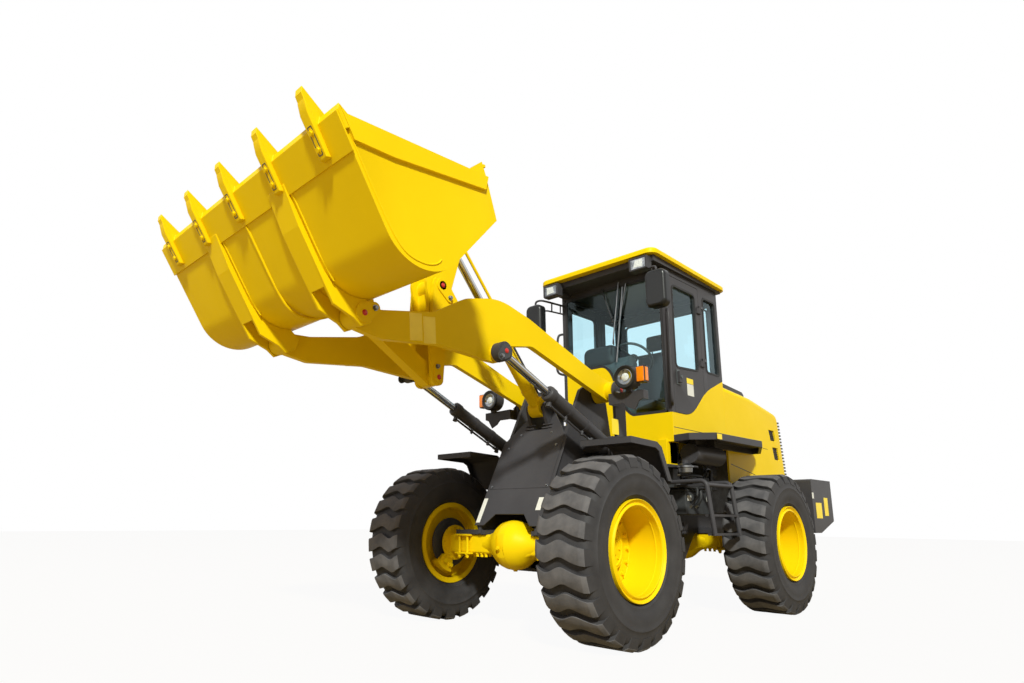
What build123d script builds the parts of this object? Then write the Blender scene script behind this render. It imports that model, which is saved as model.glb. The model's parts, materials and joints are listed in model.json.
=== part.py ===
from build123d import *
import os
from math import atan2, cos, degrees, hypot, pi, radians, sin

# Wheel loader, articulated, three-tonne class. Millimetres. X runs forward, Y to the left, Z up.
# Everything is drawn from the hitch axis (x = 0) on the ground (z = 0); save() moves it to the part's origin,
# which lies on the ground under the middle of the whole machine.
HITCH_X = -318.0

# ---- driving dimensions ----
AXLE_X = 1380.0          # each axle from the hitch axis
WHEEL_Y = 940.0          # middle of a wheel
AXLE_Z = 666.0           # wheel centre above the ground
PIN_R = 35.0             # big pins
RUN = 0.05               # radial running clearance of a pin
GAP = 8.0                # side clearance between moving plates
SEAT = 0.3               # clearance of a piece that is seated on another

# tyre 17.5-25
TYRE_R = 666.0           # over the lugs
LUG_DEPTH = 32.0
LUG_COUNT = 24
LUG_WIDTH = 112.0        # along the tread
TYRE_HALF_W = 222.0
SHOULDER_HALF_W = 196.0
TREAD_HALF_W = 168.0     # flat part of the tread
# rim
RIM_R = 318.0            # bead seat
RIM_WALL = 11.0
FLANGE_R = 352.0
RIM_HALF_W = 187.0
FLANGE_T = 15.0
DISC_W = -95.0           # inner face of the wheel disc from the wheel's middle
DISC_T = 18.0
HUB_R = 160.0
HUB_COVER_R = 150.0
HUB_COVER_W = -22.0      # outer face of the hub cover
BRAKE_R = 215.0
BRAKE_T = 16.0
BRAKE_W = -170.0         # inner face of the brake disc
SPINDLE_R = 55.0
SPINDLE_LEN = 60.0

# axle housings
AXLE_GAP = 6.0           # end flange to brake disc
AXLE_FLANGE_R = 112.0
AXLE_FLANGE_T = 40.0
AXLE_ARM = (150.0, 158.0)   # box section of the arms, x and z
BANJO_R = 198.0
PAD_Y = 305.0            # seats of the frame plates
PAD_LEN = 180.0
PAD_W = 150.0
PAD_Z = 745.0            # flat top of the housing
NOSE_R = 95.0            # pinion housing

# front frame
TOWER_Y = 290.0          # inner face of a tower plate
PLATE = 30.0
TOWER_FRONT = (1470.0, 850.0)   # foot and top of a tower plate's front edge
TOWER_TOP = (860.0, 1990.0)
COVER_T = 12.0
COVER_HALF = 350.0
FOOT = (620.0, 1980.0)   # boom foot pin, x and z
FOOT_BOSS_R = 88.0
UPRIGHT_Y = 532.0        # inner face of the outer uprights
UPRIGHT_T = 28.0
UPRIGHT_HALF = 80.0
LIFT_BASE = (800.0, 1490.0)
LIFT_Y = 525.0           # middle plane of a lift cylinder
LIFT_LUG_Y = 590.0
TILT_BASE = (1050.0, 1830.0)
HITCH_NOSE_R = 92.0
HITCH_PIN_R = 38.0
UPPER_LUG_Z = 1100.0     # underside of the front frame's upper lug
LOWER_LUG_Z = 490.0
LUG_T = 40.0
REAR_LUG_T = 30.0
LUG_GAP = 5.0

# boom
ARM_Y = 410.0            # inner face of an arm
ARM_T = 50.0
BUCKET_PIN = (3338.0, 2082.0)
LIFT_PIN = (2096.0, 2067.0)
CRANK_PIN = (2335.0, 2620.0)
CRANK_LOW = (2340.0, 1907.0)
CRANK_TOP = (2130.0, 3060.0)
LINK_PIN = (2974.0, 2273.0)
CROSS_TUBE = (2105.0, 2300.0)
CROSS_TUBE_R = 95.0
CRANK_Y = 70.0           # inner face of a crank plate
CRANK_T = 30.0
BRACKET_Y = 108.0        # inner face of a crank bracket
BRACKET_T = 28.0

# bucket, drawn in its own frame: u forward along the floor, v up, from the hinge pin
BUCKET_TILT = 57.5       # degrees that the floor is rolled back
BUCKET_HALF = 1180.0
SHELL_T = 16.0
SIDE_T = 20.0
FLOOR_V = -140.0         # underside of the floor
FLOOR_END_U = 880.0
EDGE_END_U = 1010.0
HEEL_R = 310.0
HEEL_U = 360.0           # centre of the heel
BACK_LEAN = 15.0         # degrees that the back leans forward
BACK_TOP_V = 730.0
TOOTH_Y = (-974.0, -488.0, 0.0, 488.0, 974.0)
EAR_Y = 450.0            # middle of a hinge bracket
EAR_HALF = 66.0          # inner face of an ear from the bracket's middle
EAR_T = 26.0

# cylinders
LIFT_R = 55.0
LIFT_ROD_R = 32.0
LIFT_BARREL = 850.0
LIFT_ROD_END = 470.0     # inner end of the rod from the barrel's pin
TILT_R = 58.0
TILT_ROD_R = 32.0
TILT_BARREL = 985.0
TILT_ROD_END = 400.0
EYE_R = 72.0
STEER_REAR = (-620.0, 430.0)
STEER_FRONT = (120.0, 300.0)
STEER_Z = 800.0
STEER_EYE_W = 40.0
STEER_EYE_R = 34.0
STEER_PIN_R = 20.0
STEER_R = 36.0
STEER_ROD_R = 20.0
STEER_BARREL = 500.0
STEER_TUBE = 62.0        # start of the wide tube from the pin
STEER_ROD_END = 276.0    # inner end of the rod from the barrel's pin
STEER_LUG_T = 24.0

# rear frame
SHAFT_HOLE_R = 75.0
RAIL_Y = 220.0
RAIL_FRONT = -240.0
RAIL_REAR = -2760.0

# cab
CAB_FRONT = -170.0
CAB_REAR = -1290.0
CAB_HALF = 620.0
CAB_FLOOR = 1600.0
CAB_TOP = 3330.0
ROOF_FRONT = 135.0
ROOF_REAR = -1380.0
ROOF_FRONT_Z = CAB_TOP + 120
ROOF_REAR_Z = CAB_TOP + 75
SOFFIT_FRONT_Z = CAB_TOP + 60  # underside of the roof cap
SOFFIT_REAR_Z = CAB_TOP + 17
ROOF_HALF = 690.0
POST = 60.0
DOOR_T = 40.0
DOOR_REAR = -860.0
HINGE_X = -860.0
HINGE_Y = 632.0
HINGE_Z = (CAB_TOP - 910, CAB_TOP - 340)
SIDE_LINE = [(CAB_FRONT, 1880), (-560, 1880), (-900, 2175), (CAB_REAR, 2335)]
SIDE_RADII = [0, 400, 800, 0]
SILL_Z = 1880.0
LADDER_X = (-170.0, -660.0)
SCREEN_SILL = 2430.0
WINDOW_TOP = CAB_TOP - 140
DOOR_WINDOW = [(-290, 2325), (-775, 2355), (-790, WINDOW_TOP), (-300, WINDOW_TOP)]
QUARTER_WINDOW = [(-935, 2372), (-1237, 2372), (-1237, WINDOW_TOP + 15), (-945, WINDOW_TOP + 15)]

# hood and counterweight
HOOD_FRONT = -1290.3
HOOD_REAR = -2780.0
HOOD_TOP = 2300.0        # at the cab; the rear end lies lower
HOOD_DROP = 160.0
HOOD_HALF = 620.0
HOOD_T = 20.0
HOOD_LOW = 1360.3
GRILLE_HALF = 430.0
GRILLE_Z = 1740.0
GRILLE_RISE = 310.0
HOOD_WALL = 38.0
HOOD_SLOPE = 0.154       # lean of the hood's rear face, per unit of height

# tow pin's ears in the counterweight
WEIGHT_FRONT = -2760.3
WEIGHT_REAR = -3448.0
WEIGHT_HALF = 900.0
WEIGHT_LOW = 747.0
WEIGHT_TOP = 1360.0
TOW_X = WEIGHT_REAR + 63
TOW_R = 20.0
TOW_LOW = 980.0          # faces of the two ears towards each other
TOW_HIGH = 1080.0
TOW_EAR = 45.0
TOW_HALF = 90.0
LASH = (430.0, 560.0, 28.0)     # lashing hole of a tower plate: x, z, radius

os.makedirs("parts", exist_ok=True)


# ---- helpers ----
def save(node, *shapes):
    """Write one node, moved from the hitch frame to the part's origin."""
    solids = [Pos(HITCH_X, 0, 0) * s for shape in shapes for s in shape.solids()]
    shape = solids[0] if len(solids) == 1 else Compound(children=solids)
    export_step(shape, f"parts/{node}.step")


def outline(points, radii=0):
    """Closed face from corner points, each corner rounded by its radius."""
    if radii == 0:
        return make_face(Polyline(*points, close=True))
    return make_face(FilletPolyline(*points, radius=radii, close=True))


def side_plate(points, y_low, y_high, radii=0, holes=()):
    """Plate parallel to the XZ plane; holes are (x, z, radius)."""
    plate = extrude(Pos(0, y_low, 0) * (Plane.XZ * outline(points, radii)), y_high - y_low, dir=(0, 1, 0))
    for x, z, r in holes:
        plate -= bar_y(x, z, r, y_low - 1, y_high + 1)
    return plate


def level_plate(points, z_low, z_high, radii=0):
    """Plate parallel to the ground, its corners as (x, y)."""
    return extrude(Pos(0, 0, z_low) * outline(points, radii), z_high - z_low, dir=(0, 0, 1))


def cross_plate(points, x_low, x_high, radii=0):
    """Plate across the machine, its corners as (y, z)."""
    return extrude(Pos(x_low, 0, 0) * (Plane.YZ * outline(points, radii)), x_high - x_low, dir=(1, 0, 0))


def block(x_low, x_high, y_low, y_high, z_low, z_high):
    size = (x_high - x_low, y_high - y_low, z_high - z_low)
    return Pos((x_low + x_high) / 2, (y_low + y_high) / 2, (z_low + z_high) / 2) * Box(*size)


def bar_y(x, z, r, y_low, y_high):
    return Pos(x, (y_low + y_high) / 2, z) * (Rot(90, 0, 0) * Cylinder(r, y_high - y_low))


def bar_x(y, z, r, x_low, x_high):
    return Pos((x_low + x_high) / 2, y, z) * (Rot(0, 90, 0) * Cylinder(r, x_high - x_low))


def bar_z(x, y, r, z_low, z_high):
    return Pos(x, y, (z_low + z_high) / 2) * Cylinder(r, z_high - z_low)


def rod(start, end, r):
    """Round bar between two points."""
    run = Vector(*end) - Vector(*start)
    plane = Plane(origin=start, z_dir=run)
    return plane * Cylinder(r, run.length, align=(Align.CENTER, Align.CENTER, Align.MIN))


def pipe(points, r, bend):
    """Round tube along straight runs with bends between them."""
    path = FilletPolyline(*points, radius=bend)
    return sweep(Plane(origin=path @ 0, z_dir=path % 0) * Circle(r), path=path)


def ring_y(x, z, r, bore, y_low, y_high):
    return bar_y(x, z, r, y_low, y_high) - bar_y(x, z, bore, y_low - 1, y_high + 1)


def both(shape):
    """The shape and its mirror image on the other side of the machine."""
    return [shape, mirror(shape, about=Plane.XZ)]


def fuse(*shapes):
    first, *rest = [s for shape in shapes for s in (shape if isinstance(shape, list) else [shape])]
    return first.fuse(*rest) if rest else first


def largest(shape):
    return max(shape.solids(), key=lambda solid: solid.volume)


# ---- wheels ----
def tyre():
    """Tyre about the Y axis, outer side towards +Y: carcass with full-width wavy bars."""
    base_r = TYRE_R - LUG_DEPTH
    inner_w = RIM_HALF_W - FLANGE_T - SEAT
    side = [(RIM_R + SEAT, 0), (RIM_R + SEAT, inner_w), (FLANGE_R + 4, inner_w)]
    wall = ThreePointArc((FLANGE_R + 4, inner_w), (480, TYRE_HALF_W), (592, SHOULDER_HALF_W + 8))
    crown = Polyline((592, SHOULDER_HALF_W + 8), (base_r - 6, TREAD_HALF_W), (base_r, 0))
    half = make_face(Wire([*Polyline(*side).edges(), wall, *crown.edges(), Edge.make_line((base_r, 0), side[0])]))
    carcass = revolve(half, Axis.Y)
    carcass = carcass.fuse(mirror(carcass, about=Plane.XZ))
    # centre line of a bar: distance across the tread, offset along it
    wave = [(-TYRE_HALF_W + 8, -30), (-112, 24), (8, -30), (118, 14), (TYRE_HALF_W - 8, 34)]
    front = [(w, s + LUG_WIDTH / 2) for w, s in wave]
    back = [(w, s - LUG_WIDTH / 2) for w, s in reversed(wave)]
    face = Plane((0, 0, 0), x_dir=(0, 1, 0), z_dir=(1, 0, 0)) * outline(front + back)
    root = 585
    bar = extrude(Pos(root, 0, 0) * face, TYRE_R - root, dir=(1, 0, 0))
    # shoulders of a bar: the corner is cut back and the end follows the side wall
    shoulder = outline([(TREAD_HALF_W, TYRE_R + 10), (TREAD_HALF_W, TYRE_R), (SHOULDER_HALF_W, TYRE_R - 18),
                        (TYRE_HALF_W - 12, root), (TYRE_HALF_W + 20, root), (TYRE_HALF_W + 20, TYRE_R + 10)])
    cut = extrude(Plane((0, 0, -200), x_dir=(0, 1, 0), z_dir=(0, 0, 1)) * (mirror(shoulder, about=Plane.YZ)), 400)
    cutter = Plane((0, 0, -200), x_dir=(0, 1, 0), z_dir=(0, 0, -1)) * shoulder
    cutter = extrude(cutter, 400, dir=(0, 0, 1))
    bar -= cutter
    bar -= mirror(cutter, about=Plane.XZ)
    bars = [Rot(0, -i * 360 / LUG_COUNT, 0) * bar for i in range(LUG_COUNT)]
    return carcass.fuse(*bars)


def rim():
    """Rim with its flanges, disc, hub and brake disc, outer side towards +Y."""
    r_in = RIM_R - RIM_WALL
    section = [(r_in, -RIM_HALF_W), (FLANGE_R, -RIM_HALF_W), (FLANGE_R, -RIM_HALF_W + FLANGE_T),
               (RIM_R, -RIM_HALF_W + FLANGE_T), (RIM_R, RIM_HALF_W - FLANGE_T), (FLANGE_R, RIM_HALF_W - FLANGE_T),
               (FLANGE_R, RIM_HALF_W), (r_in, RIM_HALF_W)]
    shell = revolve(make_face(Polyline(*section, close=True)), Axis.Y)
    disc = bar_y(0, 0, r_in + 1, DISC_W, DISC_W + DISC_T)
    cover = bar_y(0, 0, HUB_COVER_R, DISC_W, HUB_COVER_W)
    hub = bar_y(0, 0, HUB_R, BRAKE_W + BRAKE_T, DISC_W)
    brake = bar_y(0, 0, BRAKE_R, BRAKE_W, BRAKE_W + BRAKE_T)
    bore = bar_y(0, 0, SPINDLE_R + RUN, BRAKE_W - 1, BRAKE_W + SPINDLE_LEN + 5)
    return fuse(shell, disc, cover, hub, brake) - bore


def wheels():
    tyre_left, rim_left = tyre(), rim()
    for side, sign in (("left", 1), ("right", -1)):
        tyre_here = tyre_left if sign > 0 else mirror(tyre_left, about=Plane.XZ)
        rim_here = rim_left if sign > 0 else mirror(rim_left, about=Plane.XZ)
        for end, x in (("front", AXLE_X), ("rear", -AXLE_X)):
            place = Pos(x, sign * WHEEL_Y, AXLE_Z)
            save(f"tyre_{end}_{side}", place * tyre_here)
            save(f"rim_{end}_{side}", place * rim_here)


def axle(nose):
    """Axle housing about its own middle; nose is +1 or -1 for the side of the pinion housing."""
    end_y = WHEEL_Y + BRAKE_W - AXLE_GAP
    tube = [bar_y(0, 0, AXLE_FLANGE_R, -end_y, -end_y + AXLE_FLANGE_T), bar_y(0, 0, AXLE_FLANGE_R, end_y - AXLE_FLANGE_T, end_y)]
    spindles = [bar_y(0, 0, SPINDLE_R, s * end_y - SPINDLE_LEN, s * end_y + SPINDLE_LEN) for s in (-1, 1)]
    arm_x, arm_z = AXLE_ARM
    sections = [(60, 2.1 * arm_x, 2.1 * arm_z, 120), (RAIL_Y - 5, arm_x, arm_z, 20), (end_y - AXLE_FLANGE_T, arm_x, arm_z, 20)]
    arm = loft([Plane((0, y, 0), x_dir=(1, 0, 0), z_dir=(0, 1, 0)) * RectangleRounded(wide, high, corner)
                for y, wide, high, corner in sections], ruled=True)
    bowl = Rot(90, 0, 0) * Sphere(BANJO_R)
    bowl &= block(-175, 175, -155, 155, -BANJO_R - 1, BANJO_R + 1)
    nose_part = bar_x(0, 0, NOSE_R, min(0, nose * 330), max(0, nose * 330))
    return fuse(*tube, *spindles, *both(arm), bowl, nose_part)


# ---- front frame ----
def front_frame():
    plate = side_plate(
        [(170, 440), (1120, 440), (1180, PAD_Z), (1490, PAD_Z), TOWER_FRONT, TOWER_TOP, (705, 2075), (535, 2075),
         (470, 1900), (360, 1300), (170, 1180)],
        TOWER_Y, TOWER_Y + PLATE, [20, 60, 40, 10, 20, 40, 88, 88, 60, 80, 40], [LASH])
    fx, fz = FOOT
    upright = side_plate([(fx - 82, 1460), (fx + 60, 1460), (fx + 82, fz), (fx + 82, fz + 85), (fx - 82, fz + 85)],
                         UPRIGHT_Y, UPRIGHT_Y + UPRIGHT_T, [5, 5, 20, 78, 78])
    shelf = block(fx - 150, fx + 100, TOWER_Y + PLATE, UPRIGHT_Y + UPRIGHT_T, 1400, 1460)
    foot_pin = bar_y(fx, fz, PIN_R, TOWER_Y, UPRIGHT_Y + UPRIGHT_T + 12)
    bx, bz = LIFT_BASE
    lift_lug = side_plate([(bx - 80, bz - 90), (bx + 80, bz - 90), (bx + 75, bz + 70), (bx - 75, bz + 70)],
                          LIFT_LUG_Y, LIFT_LUG_Y + 16, [5, 5, 60, 60])
    lift_shelf = block(bx - 110, bx + 80, TOWER_Y + PLATE, LIFT_LUG_Y + 16, bz - 120, bz - 90)
    lift_pin = bar_y(bx, bz, PIN_R, TOWER_Y, LIFT_LUG_Y + 16)
    lift_boss = bar_y(bx, bz, 60, TOWER_Y + PLATE, LIFT_Y - 55 - GAP)
    foot_plate = block(AXLE_X - 95, AXLE_X + 95, TOWER_Y - 40, 600, PAD_Z, PAD_Z + 35)
    left = [plate, upright, shelf, foot_pin, lift_lug, lift_shelf, lift_pin, lift_boss, foot_plate]
    belly = block(200, 1100, -TOWER_Y, TOWER_Y, 440, 465)
    deck = block(420, 960, -TOWER_Y, TOWER_Y, 1640, 1670)
    rear_wall = block(172, 197, -TOWER_Y, TOWER_Y, 465, 1100) - bar_x(0, AXLE_Z, SHAFT_HOLE_R, 171, 198)
    tx, tz = TILT_BASE
    tilt_lug = side_plate([(820, 1615), (1000, 1600), (tx + 20, tz - 90), (tx + 62, tz + 55), (tx - 55, tz + 62), (820, 1800)],
                          74, 104, [5, 5, 30, 60, 60, 20])
    tilt_pin = bar_y(tx, tz, PIN_R, -104, 104)
    tilt_seat = block(820, 1005, -TOWER_Y, TOWER_Y, 1560, 1640)
    lugs = []
    for z in (UPPER_LUG_Z, LOWER_LUG_Z):
        lug = level_plate([(0, -HITCH_NOSE_R), (200, -TOWER_Y), (420, -TOWER_Y), (420, TOWER_Y), (200, TOWER_Y), (0, HITCH_NOSE_R)],
                          z, z + LUG_T)
        lug = lug.fuse(bar_z(0, 0, HITCH_NOSE_R, z, z + LUG_T)) - bar_z(0, 0, HITCH_PIN_R + RUN, z - 1, z + LUG_T + 1)
        lugs.append(lug)
    sx, sy = STEER_FRONT
    steer = []
    for z in (STEER_Z - STEER_EYE_W / 2 - STEER_LUG_T - LUG_GAP, STEER_Z + STEER_EYE_W / 2 + LUG_GAP):
        steer.append(level_plate([(sx - 35, sy + 10), (sx - 20, sy - 32), (240, TOWER_Y), (240, TOWER_Y + PLATE), (sx + 10, sy + 38)],
                                 z, z + STEER_LUG_T, [20, 20, 2, 2, 20]))
    frame = fuse(*[s for piece in left for s in both(piece)], belly, deck, rear_wall, *both(tilt_lug), tilt_pin, tilt_seat,
                 *lugs, *[s for piece in steer for s in both(piece)])
    reach = STEER_EYE_W / 2 + LUG_GAP
    window = block(160, 240, 225, TOWER_Y + PLATE + 1, STEER_Z - reach, STEER_Z + reach)
    return frame - window - mirror(window, about=Plane.XZ)


def tower_cover():
    """Inclined flat front cover: two legs over the axle, narrowing at its top towards the tilt cylinder."""
    (foot_x, foot_z), (top_x, top_z) = TOWER_FRONT, TOWER_TOP
    slope = hypot(top_x - foot_x, top_z - foot_z)
    plane = Plane(origin=(foot_x, 0, foot_z), x_dir=(0, 1, 0), z_dir=(top_z - foot_z, 0, foot_x - top_x))

    def along(z):
        return (z - foot_z) * slope / (top_z - foot_z)

    half = [(COVER_HALF, 815), (COVER_HALF, 1534), (112, 1815), (112, 1640)]
    legs = [(155, 907), (250, 815)]
    right = [(y, along(z)) for y, z in half]
    points = right + [(-y, t) for y, t in reversed(right)]
    low = [(y, along(z)) for y, z in legs]
    points += [(-y, t) for y, t in reversed(low)] + low
    return extrude(plane * Pos(0, 0, SEAT) * outline(points), COVER_T, dir=tuple(plane.z_dir))


def front_fenders():
    """Two fenders: flat top, then a steep rear part; a lip turned down along the edge."""
    spine = [(1290, 1480), (925, 1468), (855, 1432), (728, 1172)]
    t = 12
    top = spine + [(x - 2, z - t) for x, z in reversed(spine)]
    sheet = side_plate(top, 612, 1050)
    front = block(1278, 1290, 612, 1060, 1432, 1475)
    lip = side_plate([*spine, (782, 1172), (895, 1395), (945, 1420), (1290, 1432)], 1048, 1060)
    arm = block(716, 745, TOWER_Y + PLATE + SEAT, 900, 1172, 1230)
    return both(fuse(sheet, lip, arm, front))


def lamps():
    """Headlamps on deep folded brackets, each with its direction lamp outboard."""
    inner = UPRIGHT_Y + UPRIGHT_T + SEAT
    plate = cross_plate([(inner, 1925), (890, 1920), (890, 1850), (850, 1835), (806, 1762), (740, 1790), (700, 1830), (inner, 1830)],
                        784, 794)
    fold = block(720, 794, 882, 892, 1850, 1920)
    root = block(640, 794, inner, inner + 10, 1830, 1925)
    post = block(784, 820, 745, 795, 1915, 1950)
    head = bar_x(769, 2033, 100, 760, 858)
    flasher = block(775, 835, 862, 935, 1975, 2110)
    return both(fuse(plate, fold, root, post, head, flasher))


# ---- boom ----
def boom():
    fx, fz = FOOT
    bx, bz = BUCKET_PIN
    arm = side_plate(
        [(bx + 75, bz), (bx + 40, bz + 72), (3140, 2165), (2700, 2250), (2400, 2420), (2050, 2505), (1700, 2420),
         (fx + 300, 2150), (fx, fz + 92), (fx - 90, fz), (fx, fz - 92), (1672, 2200), (2010, 2140), (2045, 2003), (2165, 2003),
         (2640, 2030), (3140, 1975), (bx, bz - 78)],
        ARM_Y, ARM_Y + ARM_T,
        [30, 20, 100, 300, 200, 600, 600, 60, 60, 85, 60, 120, 60, 40, 60, 200, 100, 70])
    foot = ring_y(fx, fz, FOOT_BOSS_R, PIN_R + RUN, TOWER_Y + PLATE + GAP, UPRIGHT_Y - GAP)
    arm -= bar_y(fx, fz, PIN_R + RUN, 300, 600)
    hub = bar_y(bx, bz, 74, EAR_Y - EAR_HALF + GAP, EAR_Y + EAR_HALF - GAP)
    hub_hole = bar_y(bx, bz, PIN_R + RUN, 300, 600)
    lx, lz = LIFT_PIN
    lift_boss = bar_y(lx, lz, 60, ARM_Y + ARM_T, LIFT_Y - 40 - GAP)
    tube = bar_y(*CROSS_TUBE, CROSS_TUBE_R, -ARM_Y, ARM_Y)
    px, pz = CRANK_PIN
    cx, cz = CROSS_TUBE
    bracket = side_plate([(px + 85, pz), (px + 60, pz + 75), (px - 60, pz + 75), (px - 95, pz), (cx - 80, cz + 60), (cx, cz - 60), (cx + 330, cz + 60)],
                         BRACKET_Y, BRACKET_Y + BRACKET_T, [60, 60, 60, 60, 20, 20, 60])
    pin = bar_y(px, pz, PIN_R, -BRACKET_Y - BRACKET_T - 10, BRACKET_Y + BRACKET_T + 10)
    return fuse(*both((arm + hub) - hub_hole), *both(foot), *both(lift_boss), tube, *both(bracket), pin)


def bell_crank():
    px, pz = CRANK_PIN
    tx, tz = CRANK_TOP
    lx, lz = CRANK_LOW
    plate = side_plate([(tx - 60, tz - 10), (tx - 40, tz + 55), (tx + 50, tz + 55), (px + 130, pz + 40), (px + 105, pz - 120),
                        (lx + 62, lz + 20), (lx + 55, lz - 62), (lx - 55, lz - 62), (lx - 62, lz + 30), (px - 110, pz - 60)],
                       CRANK_Y, CRANK_Y + CRANK_T, [40, 40, 60, 100, 150, 50, 50, 50, 50, 150])
    hub = bar_y(px, pz, 78, -CRANK_Y - CRANK_T, CRANK_Y + CRANK_T)
    web = block(px - 60, px + 60, -CRANK_Y, CRANK_Y, pz - 330, pz)
    pin = bar_y(lx, lz, PIN_R, -CRANK_Y - CRANK_T, CRANK_Y + CRANK_T)
    return fuse(*both(plate), hub, web, pin) - bar_y(px, pz, PIN_R + RUN, -200, 200)


def tilt_link():
    ax, az = CRANK_LOW
    bx, bz = LINK_PIN
    bar = side_plate([(ax - 40, az - 60), (ax + 40, az - 62), (bx + 50, bz - 50), (bx + 60, bz + 30), (bx - 10, bz + 62), (ax - 60, az + 50)],
                     -45, 45, [40, 50, 40, 50, 50, 50])
    boss = bar_y(ax, az, 58, -CRANK_Y + 4, CRANK_Y - 4)
    return (bar + boss) - bar_y(ax, az, PIN_R + RUN, -100, 100)


# ---- bucket ----
def bucket_place(shape):
    x, z = BUCKET_PIN
    return Pos(x, 0, z) * (Rot(0, -BUCKET_TILT, 0) * shape)


def bucket_profile(inset):
    """Open section of the bucket's sheet, as floor, heel and back, moved inwards by inset."""
    lean = radians(BACK_LEAN)
    heel_v = FLOOR_V + HEEL_R
    r = HEEL_R - inset
    start = (FLOOR_END_U, FLOOR_V + inset)
    low = (HEEL_U, FLOOR_V + inset)
    mid = (HEEL_U - r * cos(lean / 2 + radians(-45) + radians(45) - lean), heel_v - r * sin(radians(30)))
    angle = pi - lean
    mid_angle = (angle + 1.5 * pi) / 2
    mid = (HEEL_U + r * cos(mid_angle), heel_v + r * sin(mid_angle))
    top_arc = (HEEL_U + r * cos(angle), heel_v + r * sin(angle))
    rise = BACK_TOP_V - top_arc[1]
    top = (top_arc[0] + rise * sin(lean) / cos(lean), BACK_TOP_V)
    return start, low, mid, top_arc, top


def bucket_shell():
    a = bucket_profile(0)
    b = bucket_profile(SHELL_T)
    guard = [(u, BACK_TOP_V + v) for u, v in
             ((445, 60), (524, 72), (508, 115), (524, 121), (545, 75), (543, 58), (442, 44))]
    edges = [*Polyline(a[0], a[1]).edges(), ThreePointArc(a[1], a[2], a[3]), *Polyline(a[3], a[4], *guard, b[4], b[3]).edges(),
             ThreePointArc(b[3], b[2], b[1]), *Polyline(b[1], b[0], a[0]).edges()]
    face = make_face(Wire(edges))
    half = BUCKET_HALF - 2 * SIDE_T
    sheet = extrude(Pos(0, -half, 0) * (Plane.XZ * face), 2 * half, dir=(0, 1, 0))
    side_edges = [*Polyline(a[0], a[1]).edges(), ThreePointArc(a[1], a[2], a[3]), *Polyline(a[3], a[4], (445, BACK_TOP_V + 60), (545, BACK_TOP_V + 75),
                                                (525, BACK_TOP_V - 64), (948, -91),
                                                (938, -114.7), (a[0][0], -114.7), a[0]).edges()]
    side = extrude(Pos(0, half, 0) * (Plane.XZ * make_face(Wire(side_edges))), SIDE_T, dir=(0, 1, 0))
    band = side_plate([(1000, -114.7), (948, -91), (445, BACK_TOP_V + 57), (380, BACK_TOP_V - 8), (690, 100), (820, -114.7)], half + SIDE_T - 1, BUCKET_HALF)
    return bucket_place(fuse(sheet, *both(side), *both(band)))


def bucket_edge():
    """Cutting edge with five teeth."""
    edge = side_plate([(FLOOR_END_U + SEAT, FLOOR_V), (EDGE_END_U - 30, FLOOR_V), (EDGE_END_U, FLOOR_V + 25), (FLOOR_END_U + SEAT, FLOOR_V + 25)],
                      -BUCKET_HALF, BUCKET_HALF)
    teeth = []
    for y in TOOTH_Y:
        tooth = side_plate([(860, FLOOR_V - 35), (1150, FLOOR_V - 20), (1180, FLOOR_V), (1010, FLOOR_V + 70), (930, FLOOR_V + 60), (930, FLOOR_V + 25),
                            (FLOOR_END_U + SEAT, FLOOR_V + 25), (FLOOR_END_U + SEAT, FLOOR_V), (860, FLOOR_V - SEAT)], y - 32, y + 32)
        teeth.append(tooth)
    return bucket_place(fuse(edge, *teeth))


def bucket_ears():
    """Hinge brackets of the boom's ends, each with the strip up the floor, and the link's lugs."""
    a = bucket_profile(-SEAT)
    far = (a[4][0] + 800, a[4][1])
    edges = [*Polyline((a[0][0] + 200, a[0][1]), a[1]).edges(), ThreePointArc(a[1], a[2], a[3]), *Polyline(a[3], a[4], far, (a[0][0] + 200, a[0][1])).edges()]
    envelope = extrude(Pos(0, -1000, 0) * (Plane.XZ * make_face(Wire(edges))), 2000, dir=(0, 1, 0))
    reach = [(60, 60), (-20, 90), (-75, 20), (-65, -60), (0, -85), (120, -175), (600, -175), (840, -155), (840, -100), (HEEL_U, 170), (150, 170)]
    ears = []
    for s in (-1, 1):
        y = EAR_Y + s * (EAR_HALF + EAR_T / 2)
        ears.append(largest(side_plate(reach, y - EAR_T / 2, y + EAR_T / 2) - envelope))
    pin = bar_y(0, 0, PIN_R, EAR_Y - EAR_HALF - EAR_T, EAR_Y + EAR_HALF + EAR_T)
    cover = side_plate([(230, -175), (600, -175), (840, -155), (840, -100), (230, -100)], EAR_Y - EAR_HALF, EAR_Y + EAR_HALF)
    cover = largest(cover - envelope)
    # the link's pin in the bucket's own frame
    dx, dz = LINK_PIN[0] - BUCKET_PIN[0], LINK_PIN[1] - BUCKET_PIN[1]
    tilt = radians(BUCKET_TILT)
    lu, lv = dx * cos(tilt) + dz * sin(tilt), dz * cos(tilt) - dx * sin(tilt)
    lug = side_plate([(lu - 60, lv - 5), (lu - 45, lv + 55), (220, 560), (220, 200), (lu, lv - 62)], 54, 80, [45, 45, 5, 5, 45])
    lug = largest(lug - envelope)
    return [bucket_place(s) for s in [*both(fuse(*ears, pin, cover)), *both(lug)]]


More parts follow.
